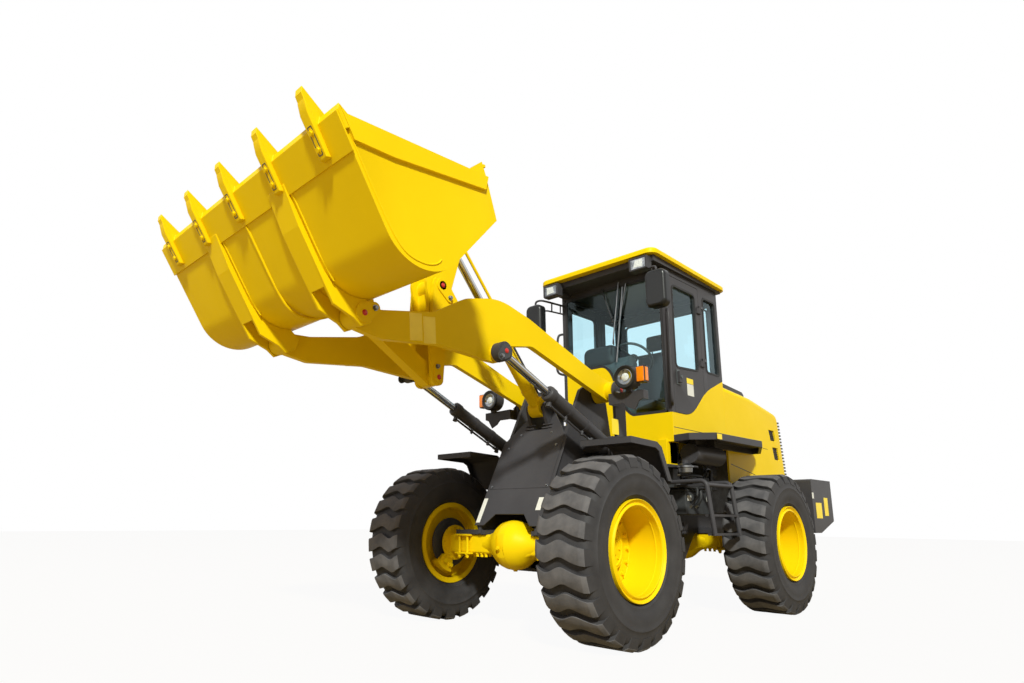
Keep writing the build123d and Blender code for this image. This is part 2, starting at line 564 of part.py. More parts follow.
# ---- cylinders ----
def cylinder(base, tip, y, radius, rod_r, length, rod_end, eye_w, tip_w):
    start, end = Vector(base[0], y, base[1]), Vector(tip[0], y, tip[1])
    way = (end - start).normalized()
    tube = rod(start + way * (EYE_R - 14), start + way * length, radius)
    collar = rod(start + way * (length - 60), start + way * length, radius + 5)
    body = fuse(bar_y(base[0], base[1], EYE_R, y - eye_w / 2, y + eye_w / 2), tube, collar)
    body -= rod(start + way * (EYE_R + 40), start + way * (length + 1), rod_r + RUN)
    body -= bar_y(base[0], base[1], PIN_R + RUN, y - eye_w, y + eye_w)
    inside = rod(start + way * rod_end, end - way * (EYE_R - 14), rod_r)
    eye = bar_y(tip[0], tip[1], EYE_R, y - tip_w / 2, y + tip_w / 2)
    return body, fuse(inside, eye)


def save_cylinders():
    body, shaft = cylinder(LIFT_BASE, LIFT_PIN, LIFT_Y, LIFT_R, LIFT_ROD_R, LIFT_BARREL, LIFT_ROD_END, 110, 80)
    for side, index in (("left", 0), ("right", 1)):
        save(f"lift_barrel_{side}", both(body)[index])
        save(f"lift_rod_{side}", both(shaft)[index])
    body, shaft = cylinder(TILT_BASE, CRANK_TOP, 0, TILT_R, TILT_ROD_R, TILT_BARREL, TILT_ROD_END, 120, 110)
    save("tilt_barrel", body)
    save("tilt_rod", shaft)


# ---- rear frame ----
def rear_frame():
    rail = side_plate([(RAIL_FRONT, 450), (-900, 450), (-1180, PAD_Z), (-1580, PAD_Z), (-1760, 600), (RAIL_REAR, 600), (RAIL_REAR, 960),
                       (-900, 960), (RAIL_FRONT, 1180)], RAIL_Y, RAIL_Y + PLATE, [20, 80, 60, 60, 60, 20, 20, 100, 40])
    wall = block(RAIL_FRONT - 30, RAIL_FRONT, -RAIL_Y, RAIL_Y, 450, 1180)
    wall -= bar_x(0, AXLE_Z, SHAFT_HOLE_R, RAIL_FRONT - 31, RAIL_FRONT + 1)
    cross = [block(x, x + 30, -RAIL_Y, RAIL_Y, 780, 950) for x in (-1200, -1600)]
    seats = block(-AXLE_X - PAD_LEN / 2, -AXLE_X + PAD_LEN / 2, RAIL_Y, PAD_Y + PAD_W / 2, PAD_Z, PAD_Z + 60)
    tail = block(RAIL_REAR, RAIL_REAR + 30, -RAIL_Y, RAIL_Y, 600, 960)
    lugs = []
    for z in (UPPER_LUG_Z, LOWER_LUG_Z):
        for low in (z - LUG_GAP - REAR_LUG_T, z + LUG_T + LUG_GAP):
            lug = level_plate([(0, -HITCH_NOSE_R), (RAIL_FRONT, -RAIL_Y + 40), (RAIL_FRONT, RAIL_Y - 40), (0, HITCH_NOSE_R)], low, low + REAR_LUG_T)
            lugs.append(lug.fuse(bar_z(0, 0, HITCH_NOSE_R, low, low + REAR_LUG_T)))
        lugs.append(bar_z(0, 0, HITCH_PIN_R, z - LUG_GAP - REAR_LUG_T, z + LUG_T + LUG_GAP + REAR_LUG_T))
    ax, ay = STEER_REAR
    steer = []
    for z in (STEER_Z - STEER_EYE_W / 2 - STEER_LUG_T - LUG_GAP, STEER_Z + STEER_EYE_W / 2 + LUG_GAP):
        steer.append(level_plate([(ax + 30, ay + 26), (ax + 60, RAIL_Y + PLATE - 5), (ax - 90, RAIL_Y + PLATE - 5), (ax - 30, ay + 26)],
                                 z, z + STEER_LUG_T, [15, 2, 2, 15]))
    reach = STEER_EYE_W / 2 + STEER_LUG_T + LUG_GAP
    steer.append(bar_z(ax, ay, STEER_PIN_R, STEER_Z - reach, STEER_Z + reach))
    posts = [block(x, x + 60, RAIL_Y, RAIL_Y + PLATE, 900, CAB_FLOOR) for x in (-420, -1150)]
    posts.append(block(-419, -200, RAIL_Y + PLATE - 1, 560, 1400, 1440))
    posts.append(block(-360, -200, 420, 560, 1439, CAB_FLOOR - SEAT))
    return fuse(*both(rail), wall, *cross, tail, *lugs, *both(seats), *[s for piece in [*steer, *posts] for s in both(piece)])


def counterweight():
    """Cast weight with chamfered corners; its rear carries the tow pin's two ears."""
    body = side_plate([(WEIGHT_FRONT, WEIGHT_LOW), (-2960, WEIGHT_LOW), (WEIGHT_REAR, WEIGHT_LOW + 145), (WEIGHT_REAR, WEIGHT_TOP - 30),
                       (WEIGHT_REAR + 23, WEIGHT_TOP), (WEIGHT_FRONT, WEIGHT_TOP)],
                      -WEIGHT_HALF, WEIGHT_HALF, [20, 60, 30, 20, 20, 30])
    low, high = WEIGHT_LOW - 47, WEIGHT_TOP + 40
    corner = [(WEIGHT_REAR + 38, WEIGHT_HALF), (WEIGHT_REAR, WEIGHT_HALF - 35)]
    body &= level_plate([(WEIGHT_FRONT + 0.3, -WEIGHT_HALF), (WEIGHT_FRONT + 0.3, WEIGHT_HALF), *corner, *[(x, -y) for x, y in reversed(corner)]],
                        low, high)
    for bottom, top in ((low, TOW_LOW - TOW_EAR), (TOW_LOW, TOW_HIGH), (TOW_HIGH + TOW_EAR, high)):
        body -= block(WEIGHT_REAR - 12, TOW_X + 70, -TOW_HALF, TOW_HALF, bottom, top)
    return body - bar_z(TOW_X, 0, TOW_R, TOW_LOW - 100, TOW_HIGH + 100)


def hood_line(z):
    """x of the hood's leaning rear face at a height."""
    return HOOD_REAR - 60 + (z - HOOD_LOW) * HOOD_SLOPE


def on_hood_rear(shape):
    """Place a shape drawn about the middle of the rear opening, x into the hood."""
    return Pos(hood_line(GRILLE_Z), 0, GRILLE_Z) * (Rot(0, degrees(atan2(HOOD_SLOPE, 1)), 0) * shape)


def hood_body():
    """Outside of the hood as one solid, its top sloping to the rear."""
    rear_top = HOOD_TOP - HOOD_DROP
    side = [(HOOD_FRONT, 1250), (HOOD_FRONT, HOOD_TOP), (-2000, HOOD_TOP - 45), (hood_line(rear_top), rear_top), (hood_line(HOOD_LOW), HOOD_LOW), (-2500, HOOD_LOW),
            (-1700, 1340)]
    outer = side_plate(side, -HOOD_HALF, HOOD_HALF, [0, 0, 600, 120, 0, 40, 300])
    top_edges = [e for e in outer.edges() if abs(abs(e.center().Y) - HOOD_HALF) < 1 and e.center().Z > 2060]
    return fillet(top_edges, 70)


def hood():
    """Engine hood: a shell with louvres and the grille's opening."""
    rear_top = HOOD_TOP - HOOD_DROP
    inner = side_plate([(HOOD_FRONT + 1, 1150), (HOOD_FRONT + 1, HOOD_TOP - HOOD_T), (-2000, HOOD_TOP - 45 - HOOD_T),
                        (hood_line(rear_top - 25) + HOOD_WALL, rear_top - 25),
                        (hood_line(1150) + HOOD_WALL, 1150)], -HOOD_HALF + HOOD_T, HOOD_HALF - HOOD_T, [0, 0, 600, 100, 0])
    shell = hood_body() - inner
    shell -= on_hood_rear(block(-60, 120, -GRILLE_HALF, GRILLE_HALF, -GRILLE_RISE, GRILLE_RISE))
    shell -= on_hood_rear(bar_z(HOOD_WALL / 2, GRILLE_HALF - 20, 8 + RUN, -GRILLE_RISE - 15, GRILLE_RISE + 15))
    for low, high, front in ((1800, 1925, -2400), (1580, 1725, -2470)):
        slot = side_plate([(front, high), (front - 160, high), (front - 190, low), (front - 40, low)], HOOD_HALF - HOOD_T - 5, HOOD_HALF + 5, 8)
        shell -= slot
        shell -= mirror(slot, about=Plane.XZ)
    return shell


def grille_door():
    """Rear grille: a framed door with cross bars that turns on pins at its left edge."""
    mid, rise, half = HOOD_WALL / 2, GRILLE_RISE - LUG_GAP, GRILLE_HALF - LUG_GAP
    hinge_y = GRILLE_HALF - 20
    frame = block(mid - 15, mid + 15, -half, hinge_y, -rise, rise) - block(0, 60, -half + 45, hinge_y - 30, -rise + 45, rise - 45)
    stile = bar_z(mid, hinge_y, 15, -rise, rise)
    pin = bar_z(mid, hinge_y, 8, -rise - 12, rise + 12)
    bars = [block(mid - 8, mid + 8, -half + 44, hinge_y - 29, z - 7, z + 7) for z in range(-240, 241, 40)]
    return on_hood_rear(fuse(frame, stile, pin, *bars))


def engine():
    """Engine and gearbox as plain masses at their real places."""
    motor = block(-2350, -1420, -280, 280, 960.3, 1850)
    gearbox = block(-960, -520, -190, 190, 560, 1150)
    return [motor, gearbox]


def driveline():
    """Propeller shafts: gearbox to rear axle, gearbox to hitch, hitch to front axle."""
    z = AXLE_Z
    rear = [bar_x(0, z, 40, -AXLE_X + 330, -960), bar_x(0, z, 40, -520, -90), bar_x(0, z, 62, -520, -500), bar_x(0, z, 58, -110, -90)]
    front = [bar_x(0, z, 40, 90, AXLE_X - 330), bar_x(0, z, 58, 90, 110), bar_x(0, z, 62, AXLE_X - 350, AXLE_X - 330)]
    return rear, front


def exhaust_box():
    """Black box over the engine behind the cab, with the exhaust outlet and the intake's cap."""
    box = side_plate([(-2040, 2200), (HOOD_FRONT - 20, 2200), (HOOD_FRONT - 20, 2375), (-1500, 2368), (-2000, 2330), (-2040, 2300)],
                     -520, 520, [0, 0, 30, 100, 20, 20])
    box = largest(box - hood_body())
    pipe_out = pipe([(-1500, -200, 2350), (-1500, -200, 2620), (-1620, -200, 2700)], 38, 60)
    cap = bar_z(-1450, 190, 85, 2350, 2450)
    return fuse(box, pipe_out, cap)


# ---- cab ----
def side_above(lift, x_low, x_high):
    """Side wall above the curved line that parts it from the yellow panel below; lift raises the line."""
    line = [(x, z + lift) for x, z in SIDE_LINE]
    wall = side_plate([(CAB_FRONT, CAB_TOP - POST), *line, (CAB_REAR, CAB_TOP - POST)], CAB_HALF - DOOR_T, CAB_HALF,
                      [0, *SIDE_RADII, 0])
    return wall & block(x_low, x_high, 0, CAB_HALF + 1, 1800, CAB_TOP)


def cab_base():
    """Floor and yellow panels of the cab."""
    floor = block(CAB_REAR, CAB_FRONT, -CAB_HALF, CAB_HALF, CAB_FLOOR, CAB_FLOOR + 40)
    side = side_plate([(CAB_FRONT, CAB_FLOOR + 40), *SIDE_LINE, (CAB_REAR, CAB_FLOOR + 40)], CAB_HALF - DOOR_T, CAB_HALF,
                      [0, *SIDE_RADII, 0])
    front = cross_plate([(-CAB_HALF + DOOR_T, CAB_FLOOR + 40), (CAB_HALF - DOOR_T, CAB_FLOOR + 40), (CAB_HALF - DOOR_T, SILL_Z), (190, SILL_Z), (110, 1960), (-40, 2360),
                         (-110, SCREEN_SILL), (-CAB_HALF + DOOR_T, SCREEN_SILL)], CAB_FRONT - 30, CAB_FRONT, [0, 0, 0, 60, 100, 60, 60, 0])
    back = block(CAB_REAR, CAB_REAR + 30, -CAB_HALF + DOOR_T, CAB_HALF - DOOR_T, CAB_FLOOR + 40, 2330)
    return fuse(floor, *both(side), front, back)


def roof_under(x):
    """Height of the roof cap's underside."""
    return SOFFIT_FRONT_Z - (ROOF_FRONT - x) * (SOFFIT_FRONT_Z - SOFFIT_REAR_Z) / (ROOF_FRONT - ROOF_REAR)


def cab_frame():
    """Black posts, quarter panels, rear wall and the frame under the roof."""
    top = block(CAB_REAR, CAB_FRONT, -CAB_HALF, CAB_HALF, CAB_TOP - POST, CAB_TOP)
    top -= block(CAB_REAR + POST, CAB_FRONT - POST, -CAB_HALF + POST, CAB_HALF - POST, CAB_TOP - POST - 1, CAB_TOP - 12)
    inner = CAB_HALF - DOOR_T
    post = block(CAB_FRONT - POST, CAB_FRONT, inner, CAB_HALF, SILL_Z, CAB_TOP - POST)
    quarter = side_above(0, CAB_REAR, DOOR_REAR)
    window = side_plate(QUARTER_WINDOW, inner - 1, CAB_HALF + 1, 50)
    wall = block(CAB_REAR, CAB_REAR + 30, -inner, inner, 2330, CAB_TOP - POST)
    wall -= block(CAB_REAR - 1, CAB_REAR + 31, -inner + 60, inner - 60, 2400, CAB_TOP - 150)
    hinge = [fuse(bar_z(HINGE_X, HINGE_Y, 12, z, z + 30), block(HINGE_X - 60, HINGE_X, CAB_HALF - 1, HINGE_Y + 6, z, z + 30))
             for z in (HINGE_Z[0] + 60.5, HINGE_Z[1] + 60.5)]
    ends = [(x, roof_under(x) - SEAT) for x in (60, CAB_REAR - 50)]
    soffit = side_plate([(60, CAB_TOP - 5), *ends, (CAB_REAR - 50, CAB_TOP - 5)],
                        -650, 650)
    return fuse(top, soffit, *both(post), *both(quarter - window), wall, *[s for h in hinge for s in both(h)])


def cab_door():
    """Left door: a frame whose lower rear corner follows the curve of the side."""
    front, rear = CAB_FRONT - POST - LUG_GAP, DOOR_REAR + LUG_GAP
    inner = CAB_HALF - DOOR_T
    leaf = side_above(LUG_GAP, rear, front) & block(rear, front, 0, CAB_HALF, 1800, CAB_TOP - POST - LUG_GAP)
    window = side_plate(DOOR_WINDOW, inner - 1, CAB_HALF + 1, 60)
    knuckles = [bar_z(HINGE_X, HINGE_Y, 12, z, z + 60) for z in HINGE_Z]
    straps = [block(HINGE_X, HINGE_X + 60, CAB_HALF - 1, HINGE_Y + 6, z, z + 60) for z in HINGE_Z]
    handle = block(front - 110, front - 60, CAB_HALF - 1, CAB_HALF + 35, 2180, 2290)
    glass = side_plate([(x, z) for x, z in DOOR_WINDOW], CAB_HALF - 24, CAB_HALF - 18, 60)
    return fuse(leaf - window, *knuckles, *straps, handle), glass


def cab_glass():
    """Fixed panes: windscreen, quarter windows and rear window."""
    x = CAB_FRONT - 14
    inner = CAB_HALF - DOOR_T - SEAT
    screen = cross_plate([(inner, SILL_Z + SEAT), (190, SILL_Z + SEAT), (110, 1960), (-40, 2360), (-110, SCREEN_SILL + SEAT), (-inner, SCREEN_SILL + SEAT), (-inner, CAB_TOP - POST - SEAT),
                          (inner, CAB_TOP - POST - SEAT)], x, x + 6, [40, 60, 100, 60, 60, 40, 40, 40])
    quarter = side_plate(QUARTER_WINDOW, CAB_HALF - 24, CAB_HALF - 18, 50)
    rear = block(CAB_REAR + 12, CAB_REAR + 18, -CAB_HALF + DOOR_T + 60, CAB_HALF - DOOR_T - 60, 2400, CAB_TOP - 150)
    return [screen, *both(quarter), rear]


def cab_roof():
    """Roof cap with rounded corners that overhangs the cab."""
    front, rear, half = ROOF_FRONT, ROOF_REAR, ROOF_HALF
    plan = level_plate([(front, -half), (front, half), (rear, half), (rear, -half)], CAB_TOP, ROOF_FRONT_Z + 50, [90, 90, 70, 70])
    side = side_plate([(front, SOFFIT_FRONT_Z), (front, ROOF_FRONT_Z), (rear, ROOF_REAR_Z), (rear, SOFFIT_REAR_Z)], -half, half)
    cap = plan & side
    return fillet(cap.faces().sort_by(Axis.Z)[-1].edges(), 28)


def seat():
    """Seat cushion and back on a sprung base."""
    cushion = block(-1000, -540, -250, 250, 2000, 2110)
    back = side_plate([(-1060, 2115), (-930, 2115), (-1010, 2740), (-1110, 2740)], -240, 240, 30)
    rest = side_plate([(-1120, 2745), (-1030, 2745), (-1045, 2940), (-1125, 2940)], -140, 140, 25)
    stems = [bar_z(-1075, y, 9, 2730, 2760) for y in (-60, 60)]
    return [cushion, fuse(back, rest, *stems)]


def seat_base():
    spine = side_plate([(-950, 1940), (-950, 1999.7), (-1060.5, 1999.7), (-1060.5, 2115), (-1110.5, 2740), (-1135, 2740), (-1085, 2115), (-1085, 1940)],
                       -180, 180)
    return fuse(block(-960, -600, -180, 180, CAB_FLOOR + 40 + SEAT, 1999.7), spine)


def console():
    """Dashboard, steering column and wheel, levers."""
    dash = side_plate([(CAB_FRONT - 35, 1640.3), (CAB_FRONT - 35, 2440), (-330, 2560), (-440, 2480), (-420, 2300), (-330, 1640.3)], -300, 120, [0, 80, 60, 40, 60, 0])
    column = rod((-400, 0, 2380), (-572, 0, 2574), 35)
    wheel = Pos(-575, 0, 2577) * (Rot(0, -42, 0) * Torus(200, 14))
    spokes = [Pos(-575, 0, 2577) * (Rot(0, -42, 0) * (Rot(0, 0, a) * (Pos(95, 0, 0) * Box(200, 24, 14)))) for a in (90, 210, 330)]
    boss = Pos(-575, 0, 2577) * (Rot(0, -42, 0) * Cylinder(45, 40))
    stand = block(-900, -560, -560, -330, 1640.3, 2100)
    levers = [rod((-640, -420 + dy, 2095), (-600, -420 + dy, 2280), 12) for dy in (0, 60)]
    return [fuse(dash, column, wheel, *spokes, boss), fuse(stand, *levers)]


def mirrors():
    """Mirrors on tube brackets at the front posts."""
    top, side_y = CAB_TOP - 115, CAB_HALF + 106
    shell = block(130, 210, side_y - 100, side_y + 100, top - 400, top - 50)
    arm = pipe([(CAB_FRONT + 1.6, CAB_HALF - 20, top), (150, CAB_HALF + 20, top), (150, side_y, top), (150, side_y, top - 65)], 10, 28)
    stay = rod((CAB_FRONT + 1.6, CAB_HALF - 20, top - 95), (140, CAB_HALF + 30, top - 95), 8)
    return both(fuse(fillet(shell.edges().filter_by(Axis.X), 45), arm, stay))


def work_lamps():
    """Work lamps under the front corners of the roof."""
    lamp = block(62, 150, 435, 625, CAB_TOP - 95, CAB_TOP + 35)
    neck = block(CAB_FRONT, 64, 490, 570, CAB_TOP - 45, CAB_TOP - 6)
    return both(fuse(lamp, neck))


def platforms():
    """Steps at both sides: platform, which runs back as the rear wheel's fender, with its ladder."""
    deck = level_plate([(-168, CAB_HALF + SEAT), (-118, 796), (-275, 980), (-1220, 1000), (-1850, 730), (-1850, HOOD_HALF + SEAT)], 1595, 1660)
    deck -= level_plate([(-180, CAB_HALF + 30), (-150, 790), (-285, 950), (-1210, 970), (-1820, 710), (-1820, HOOD_HALF + 30)], 1590, 1652)
    front, rear = LADDER_X
    rails = [pipe([(x, 420, 1220), (x, 900, 1228), (x, 950, 745)], 20, 60) for x in LADDER_X]
    steps = [block(rear, front, y - 60, y + 15, z - 10, z + 10) for y, z in ((932, 920), (945, 755))]
    steps.append(bar_x(905, 1190, 18, rear, front))
    hanger = block(-420, -360, RAIL_Y + PLATE + SEAT, 905, 1190, 1206)
    return deck, fuse(*rails, *steps, hanger)


def tanks():
    """Air tank under the left platform, fuel tank under the right one."""
    round_tank = fuse(bar_x(700, 1490, 92, -860, -290), *[block(x, x + 40, 660, 740, 1560, 1652 - SEAT) for x in (-780, -400)])
    box_tank = block(-1000, -430, -800, -RAIL_Y - PLATE - SEAT, 1290, 1595 - SEAT)
    return [round_tank, fillet(box_tank.edges().filter_by(Axis.X), 60)]


def steer_cylinders():
    ax, ay = STEER_REAR
    bx, by = STEER_FRONT
    start, end = Vector(ax, ay, STEER_Z), Vector(bx, by, STEER_Z)
    way = (end - start).normalized()
    half = STEER_EYE_W / 2
    neck = rod(start + way * (STEER_EYE_R - 8), start + way * (STEER_TUBE + 5), half)
    tube = rod(start + way * STEER_TUBE, start + way * STEER_BARREL, STEER_R)
    body = fuse(bar_z(ax, ay, STEER_EYE_R, STEER_Z - half, STEER_Z + half), neck, tube)
    body -= rod(start + way * (STEER_TUBE + 10), start + way * (STEER_BARREL + 1), STEER_ROD_R + RUN)
    body -= bar_z(ax, ay, STEER_PIN_R + RUN, STEER_Z - 60, STEER_Z + 60)
    shaft = fuse(rod(start + way * STEER_ROD_END, end - way * (STEER_EYE_R - 8), STEER_ROD_R), bar_z(bx, by, STEER_EYE_R, STEER_Z - half, STEER_Z + half))
    for side, index in (("left", 0), ("right", 1)):
        save(f"steer_barrel_{side}", both(body)[index])
        save(f"steer_rod_{side}", both(shaft)[index])


def main():
    wheels()
    save("front_axle", Pos(AXLE_X, 0, AXLE_Z) * axle(-1))
    save("rear_axle", Pos(-AXLE_X, 0, AXLE_Z) * axle(1))
    save("front_frame", front_frame())
    save("tower_cover", tower_cover())
    save("front_fenders", *front_fenders())
    save("front_lamps", *lamps())
    save("boom", boom())
    save("bell_crank", bell_crank())
    save("tilt_link", tilt_link())
    save("bucket_shell", bucket_shell())
    save("bucket_edge", bucket_edge())
    save("bucket_ears", *bucket_ears())
    save_cylinders()
    steer_cylinders()
    save("rear_frame", rear_frame())
    save("counterweight", counterweight())
    save("hood", hood())
    save("grille_door", grille_door())
    save("engine", *engine())
    rear, front = driveline()
    save("rear_shafts", fuse(rear[0]), fuse(*rear[1:]))
    save("front_shaft", fuse(*front))
    save("exhaust_box", exhaust_box())
    save("cab_base", cab_base())
    save("cab_frame", cab_frame())
    door, glass = cab_door()
    for side, index in (("left", 0), ("right", 1)):
        save(f"door_{side}", both(door)[index])
        save(f"door_glass_{side}", both(glass)[index])
    save("cab_glass", *cab_glass())
    save("cab_roof", cab_roof())
    save("seat", *seat())
    save("seat_base", seat_base())
    save("console", *console())
    save("mirrors", *mirrors())
    save("work_lamps", *work_lamps())
    deck, ladder = platforms()
    save("platforms", *both(deck))
    save("ladders", *both(ladder))
    save("tanks", *tanks())


main()
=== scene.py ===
"""Wheel loader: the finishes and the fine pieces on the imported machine."""
import json
from math import atan2, cos, hypot, pi, radians, sin

import bmesh
import bpy
from mathutils import Matrix, Vector

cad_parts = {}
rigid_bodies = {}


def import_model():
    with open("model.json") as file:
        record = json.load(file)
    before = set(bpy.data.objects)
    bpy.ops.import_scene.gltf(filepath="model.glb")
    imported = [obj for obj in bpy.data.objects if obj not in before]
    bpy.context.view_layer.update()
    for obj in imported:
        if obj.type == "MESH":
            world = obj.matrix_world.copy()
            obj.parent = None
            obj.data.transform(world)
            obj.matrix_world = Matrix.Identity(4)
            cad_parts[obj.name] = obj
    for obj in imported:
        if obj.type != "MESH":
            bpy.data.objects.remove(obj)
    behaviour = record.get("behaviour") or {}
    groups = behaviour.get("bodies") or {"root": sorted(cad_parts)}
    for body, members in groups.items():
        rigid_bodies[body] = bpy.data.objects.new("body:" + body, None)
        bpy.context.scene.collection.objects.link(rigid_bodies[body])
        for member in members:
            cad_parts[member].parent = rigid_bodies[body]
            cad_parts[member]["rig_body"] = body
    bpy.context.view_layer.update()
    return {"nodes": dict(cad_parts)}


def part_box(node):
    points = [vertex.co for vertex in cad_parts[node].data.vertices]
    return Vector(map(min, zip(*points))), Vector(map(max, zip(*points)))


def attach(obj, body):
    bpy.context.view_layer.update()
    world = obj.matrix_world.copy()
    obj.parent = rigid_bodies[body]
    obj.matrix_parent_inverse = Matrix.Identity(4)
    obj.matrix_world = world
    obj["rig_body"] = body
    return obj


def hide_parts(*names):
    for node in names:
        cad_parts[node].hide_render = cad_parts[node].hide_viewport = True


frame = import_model()
HITCH = -0.318    # x of the hitch axis; most sizes below are drawn from it
SIDES = (("left", 1), ("right", -1))
ENDS = (("front", 1), ("rear", -1))


# ---- colour and node helpers ----
def colour(hex_code):
    """An sRGB hex value as a linear colour."""
    parts = [int(hex_code[i:i + 2], 16) / 255 for i in (1, 3, 5)]
    linear = [c / 12.92 if c <= 0.04045 else ((c + 0.055) / 1.055) ** 2.4 for c in parts]
    return (*linear, 1.0)


def add(tree, kind, inputs=None, **settings):
    """Add a node with its settings; an input is a value, or (node, output) to link."""
    node = tree.nodes.new(kind)
    for name, value in settings.items():
        setattr(node, name, value)
    for name, value in (inputs or {}).items():
        if isinstance(value, tuple) and isinstance(value[0], bpy.types.Node):
            tree.links.new(value[0].outputs[value[1]], node.inputs[name])
        else:
            node.inputs[name].default_value = value
    return node


def blank_material(name):
    material = bpy.data.materials.new(name)
    material.use_nodes = True
    material.node_tree.nodes.clear()
    return material, material.node_tree


def mottled(name, base, second, patch_mm, rough, grain_mm, grain, metallic=0.0, coat=0.0, gleam=0.5):
    """A finish whose colour and roughness wander in patches, with a fine grain in its normal.

    patch_mm and grain_mm are the sizes of one patch and one grain. Object coordinates are in metres, so
    the scales are counts in a metre, of grains in whole numbers.
    """
    material, tree = blank_material(name)
    place = add(tree, "ShaderNodeTexCoord")
    cloud = add(tree, "ShaderNodeTexNoise", {"Vector": (place, "Object"), "Scale": round(1000 / patch_mm, 1),
                                             "Detail": 5.0, "Roughness": 0.6})
    mask = add(tree, "ShaderNodeMapRange", {"Value": (cloud, "Fac"), "From Min": 0.35, "From Max": 0.65})
    tint = add(tree, "ShaderNodeMix", {0: (mask, "Result"), 6: colour(base), 7: colour(second)}, data_type="RGBA")
    gloss = add(tree, "ShaderNodeMapRange", {"Value": (cloud, "Fac"), "From Min": 0.3, "From Max": 0.7,
                                             "To Min": rough[0], "To Max": rough[1]})
    fine = add(tree, "ShaderNodeTexNoise", {"Vector": (place, "Object"), "Scale": round(1000 / grain_mm, 0),
                                            "Detail": 3.0})
    bump = add(tree, "ShaderNodeBump", {"Height": (fine, "Fac"), "Strength": grain, "Distance": 0.001})
    shader = add(tree, "ShaderNodeBsdfPrincipled", {
        "Roughness": (gloss, "Result"), "Normal": (bump, "Normal"), "Metallic": metallic, "IOR": 1.5,
        "Specular IOR Level": gleam, "Coat Weight": coat, "Coat Roughness": 0.08})
    tree.links.new(tint.outputs[2], shader.inputs["Base Color"])
    add(tree, "ShaderNodeOutputMaterial", {"Surface": (shader, "BSDF")})
    return material


# Enamel sprayed on steel: an even warm yellow with a soft sheen and a faint orange peel.
ENAMEL = mottled("loader_enamel", "#E8C60A", "#E3C109", 625, (0.34, 0.44), 1.111, 0.04, gleam=0.08)
# The same enamel in black, sprayed thicker: dark grey in the light, with more orange peel.
BLACK = mottled("chassis_black_enamel", "#39383C", "#414044", 454.5, (0.34, 0.48), 1.429, 0.1, gleam=0.15)
# Moulded acrylic: a deep clear orange under a gloss.
AMBER = mottled("amber_lens_plastic", "#E8820E", "#DD780C", 25, (0.12, 0.2), 3.333, 0.02, coat=0.4)
# Pressed glass: pale, its flutes break up the glint.
LENS = mottled("fluted_lamp_glass", "#D9DEE0", "#B9C0C4", 16.67, (0.06, 0.12), 4.545, 0.3, coat=0.5)
# Calendered vinyl film, blank: flat and even, so it stands out from the paint round it.
LABEL_WHITE = mottled("white_vinyl_film", "#D8D8D4", "#CFCFCB", 125, (0.35, 0.45), 1.667, 0.03)
LABEL_YELLOW = mottled("yellow_vinyl_film", "#F2D61E", "#EACD18", 125, (0.35, 0.45), 1.667, 0.03)
# Moulded plastic: a small plain red spot on each pin.
RED = mottled("red_plastic_cap", "#C02A22", "#B0241E", 50, (0.35, 0.45), 2.0, 0.05)
# Extruded rubber: near black and dull, a dark frame round each pane.
RUBBER = mottled("black_seal_rubber", "#141416", "#1C1C1E", 83.33, (0.55, 0.7), 2.0, 0.1)
# Moulded rubber of the side walls: dark and dull, with dust in patches.
TYRE = mottled("tyre_sidewall_rubber", "#2C2B2E", "#39383B", 166.7, (0.62, 0.8), 2.381, 0.3, gleam=0.3)
# Tread rubber, paler than the walls: partly worn by gravel, partly a painted highlight for the light on the bars.
# Scuffs of about 1 mm are drawn at 3.8 mm to show.
TREAD_WEAR_AND_HIGHLIGHT = mottled("tread_rubber_wear_and_highlight", "#4A494D", "#615F62", 142.9, (0.78, 0.9), 3.846, 0.5, gleam=0.3)
# Turned or plated steel: a grey metal with a broken glint.
STEEL = mottled("bare_steel", "#8B8D90", "#75777A", 111.1, (0.3, 0.45), 1.667, 0.1, metallic=1.0)
# Ground chrome of the rods: close to a mirror.
CHROME = mottled("hard_chrome", "#C9CBCE", "#BDBFC2", 200, (0.08, 0.14), 3.333, 0.01, metallic=1.0)
# Aluminium laid on plastic in a vacuum: bright, with dark streaks painted in as reflections of facets that look away.
REFLECTOR = mottled("vapour_coated_reflector", "#A9ADB0", "#6F7376", 41.67, (0.14, 0.22), 11.11, 0.3, metallic=1.0)
# Sand-cast iron, painted: rough and dark. Its sand grain of about 0.5 mm is drawn at 4 mm to show.
CAST = mottled("cast_iron_paint", "#3A3C3F", "#2B2C2E", 83.33, (0.5, 0.7), 4.0, 0.4)
# Moulded ABS: black and smooth with a soft gloss; the grey one has a finer sheen and an eroded grain.
CASING = mottled("moulded_black_plastic", "#17181A", "#1F2022", 200, (0.28, 0.38), 2.0, 0.1, gleam=0.3)
PLASTIC = mottled("moulded_grey_plastic", "#4A5052", "#3F4547", 200, (0.45, 0.55), 2.0, 0.15)
# Woven polyester: soft and without shine. Threads of about 0.5 mm are drawn at 1.1 mm to show.
CLOTH = mottled("seat_cloth", "#1D1F22", "#292B2F", 33.33, (0.85, 0.95), 1.111, 0.5)


def glass_material():
    """Tempered safety glass with a light blue tint: mostly clear, so the far panes show through."""
    material, tree = blank_material("tinted_safety_glass")
    clear = add(tree, "ShaderNodeBsdfTransparent", {"Color": colour("#EFFBFE")})
    sheen = add(tree, "ShaderNodeBsdfGlossy", {"Color": colour("#DDF2F8"), "Roughness": 0.02})
    edge = add(tree, "ShaderNodeFresnel", {"IOR": 1.45})
    side = add(tree, "ShaderNodeNewGeometry")
    front = add(tree, "ShaderNodeMath", {0: 1.0, 1: (side, "Backfacing")}, operation="SUBTRACT")
    share = add(tree, "ShaderNodeMath", {0: (edge, "Fac"), 1: (front, "Value")}, operation="MULTIPLY")
    mix = add(tree, "ShaderNodeMixShader", {0: (share, "Value"), 1: (clear, "BSDF"), 2: (sheen, "BSDF")})
    add(tree, "ShaderNodeOutputMaterial", {"Surface": (mix, "Shader")})
    return material


GLASS = glass_material()


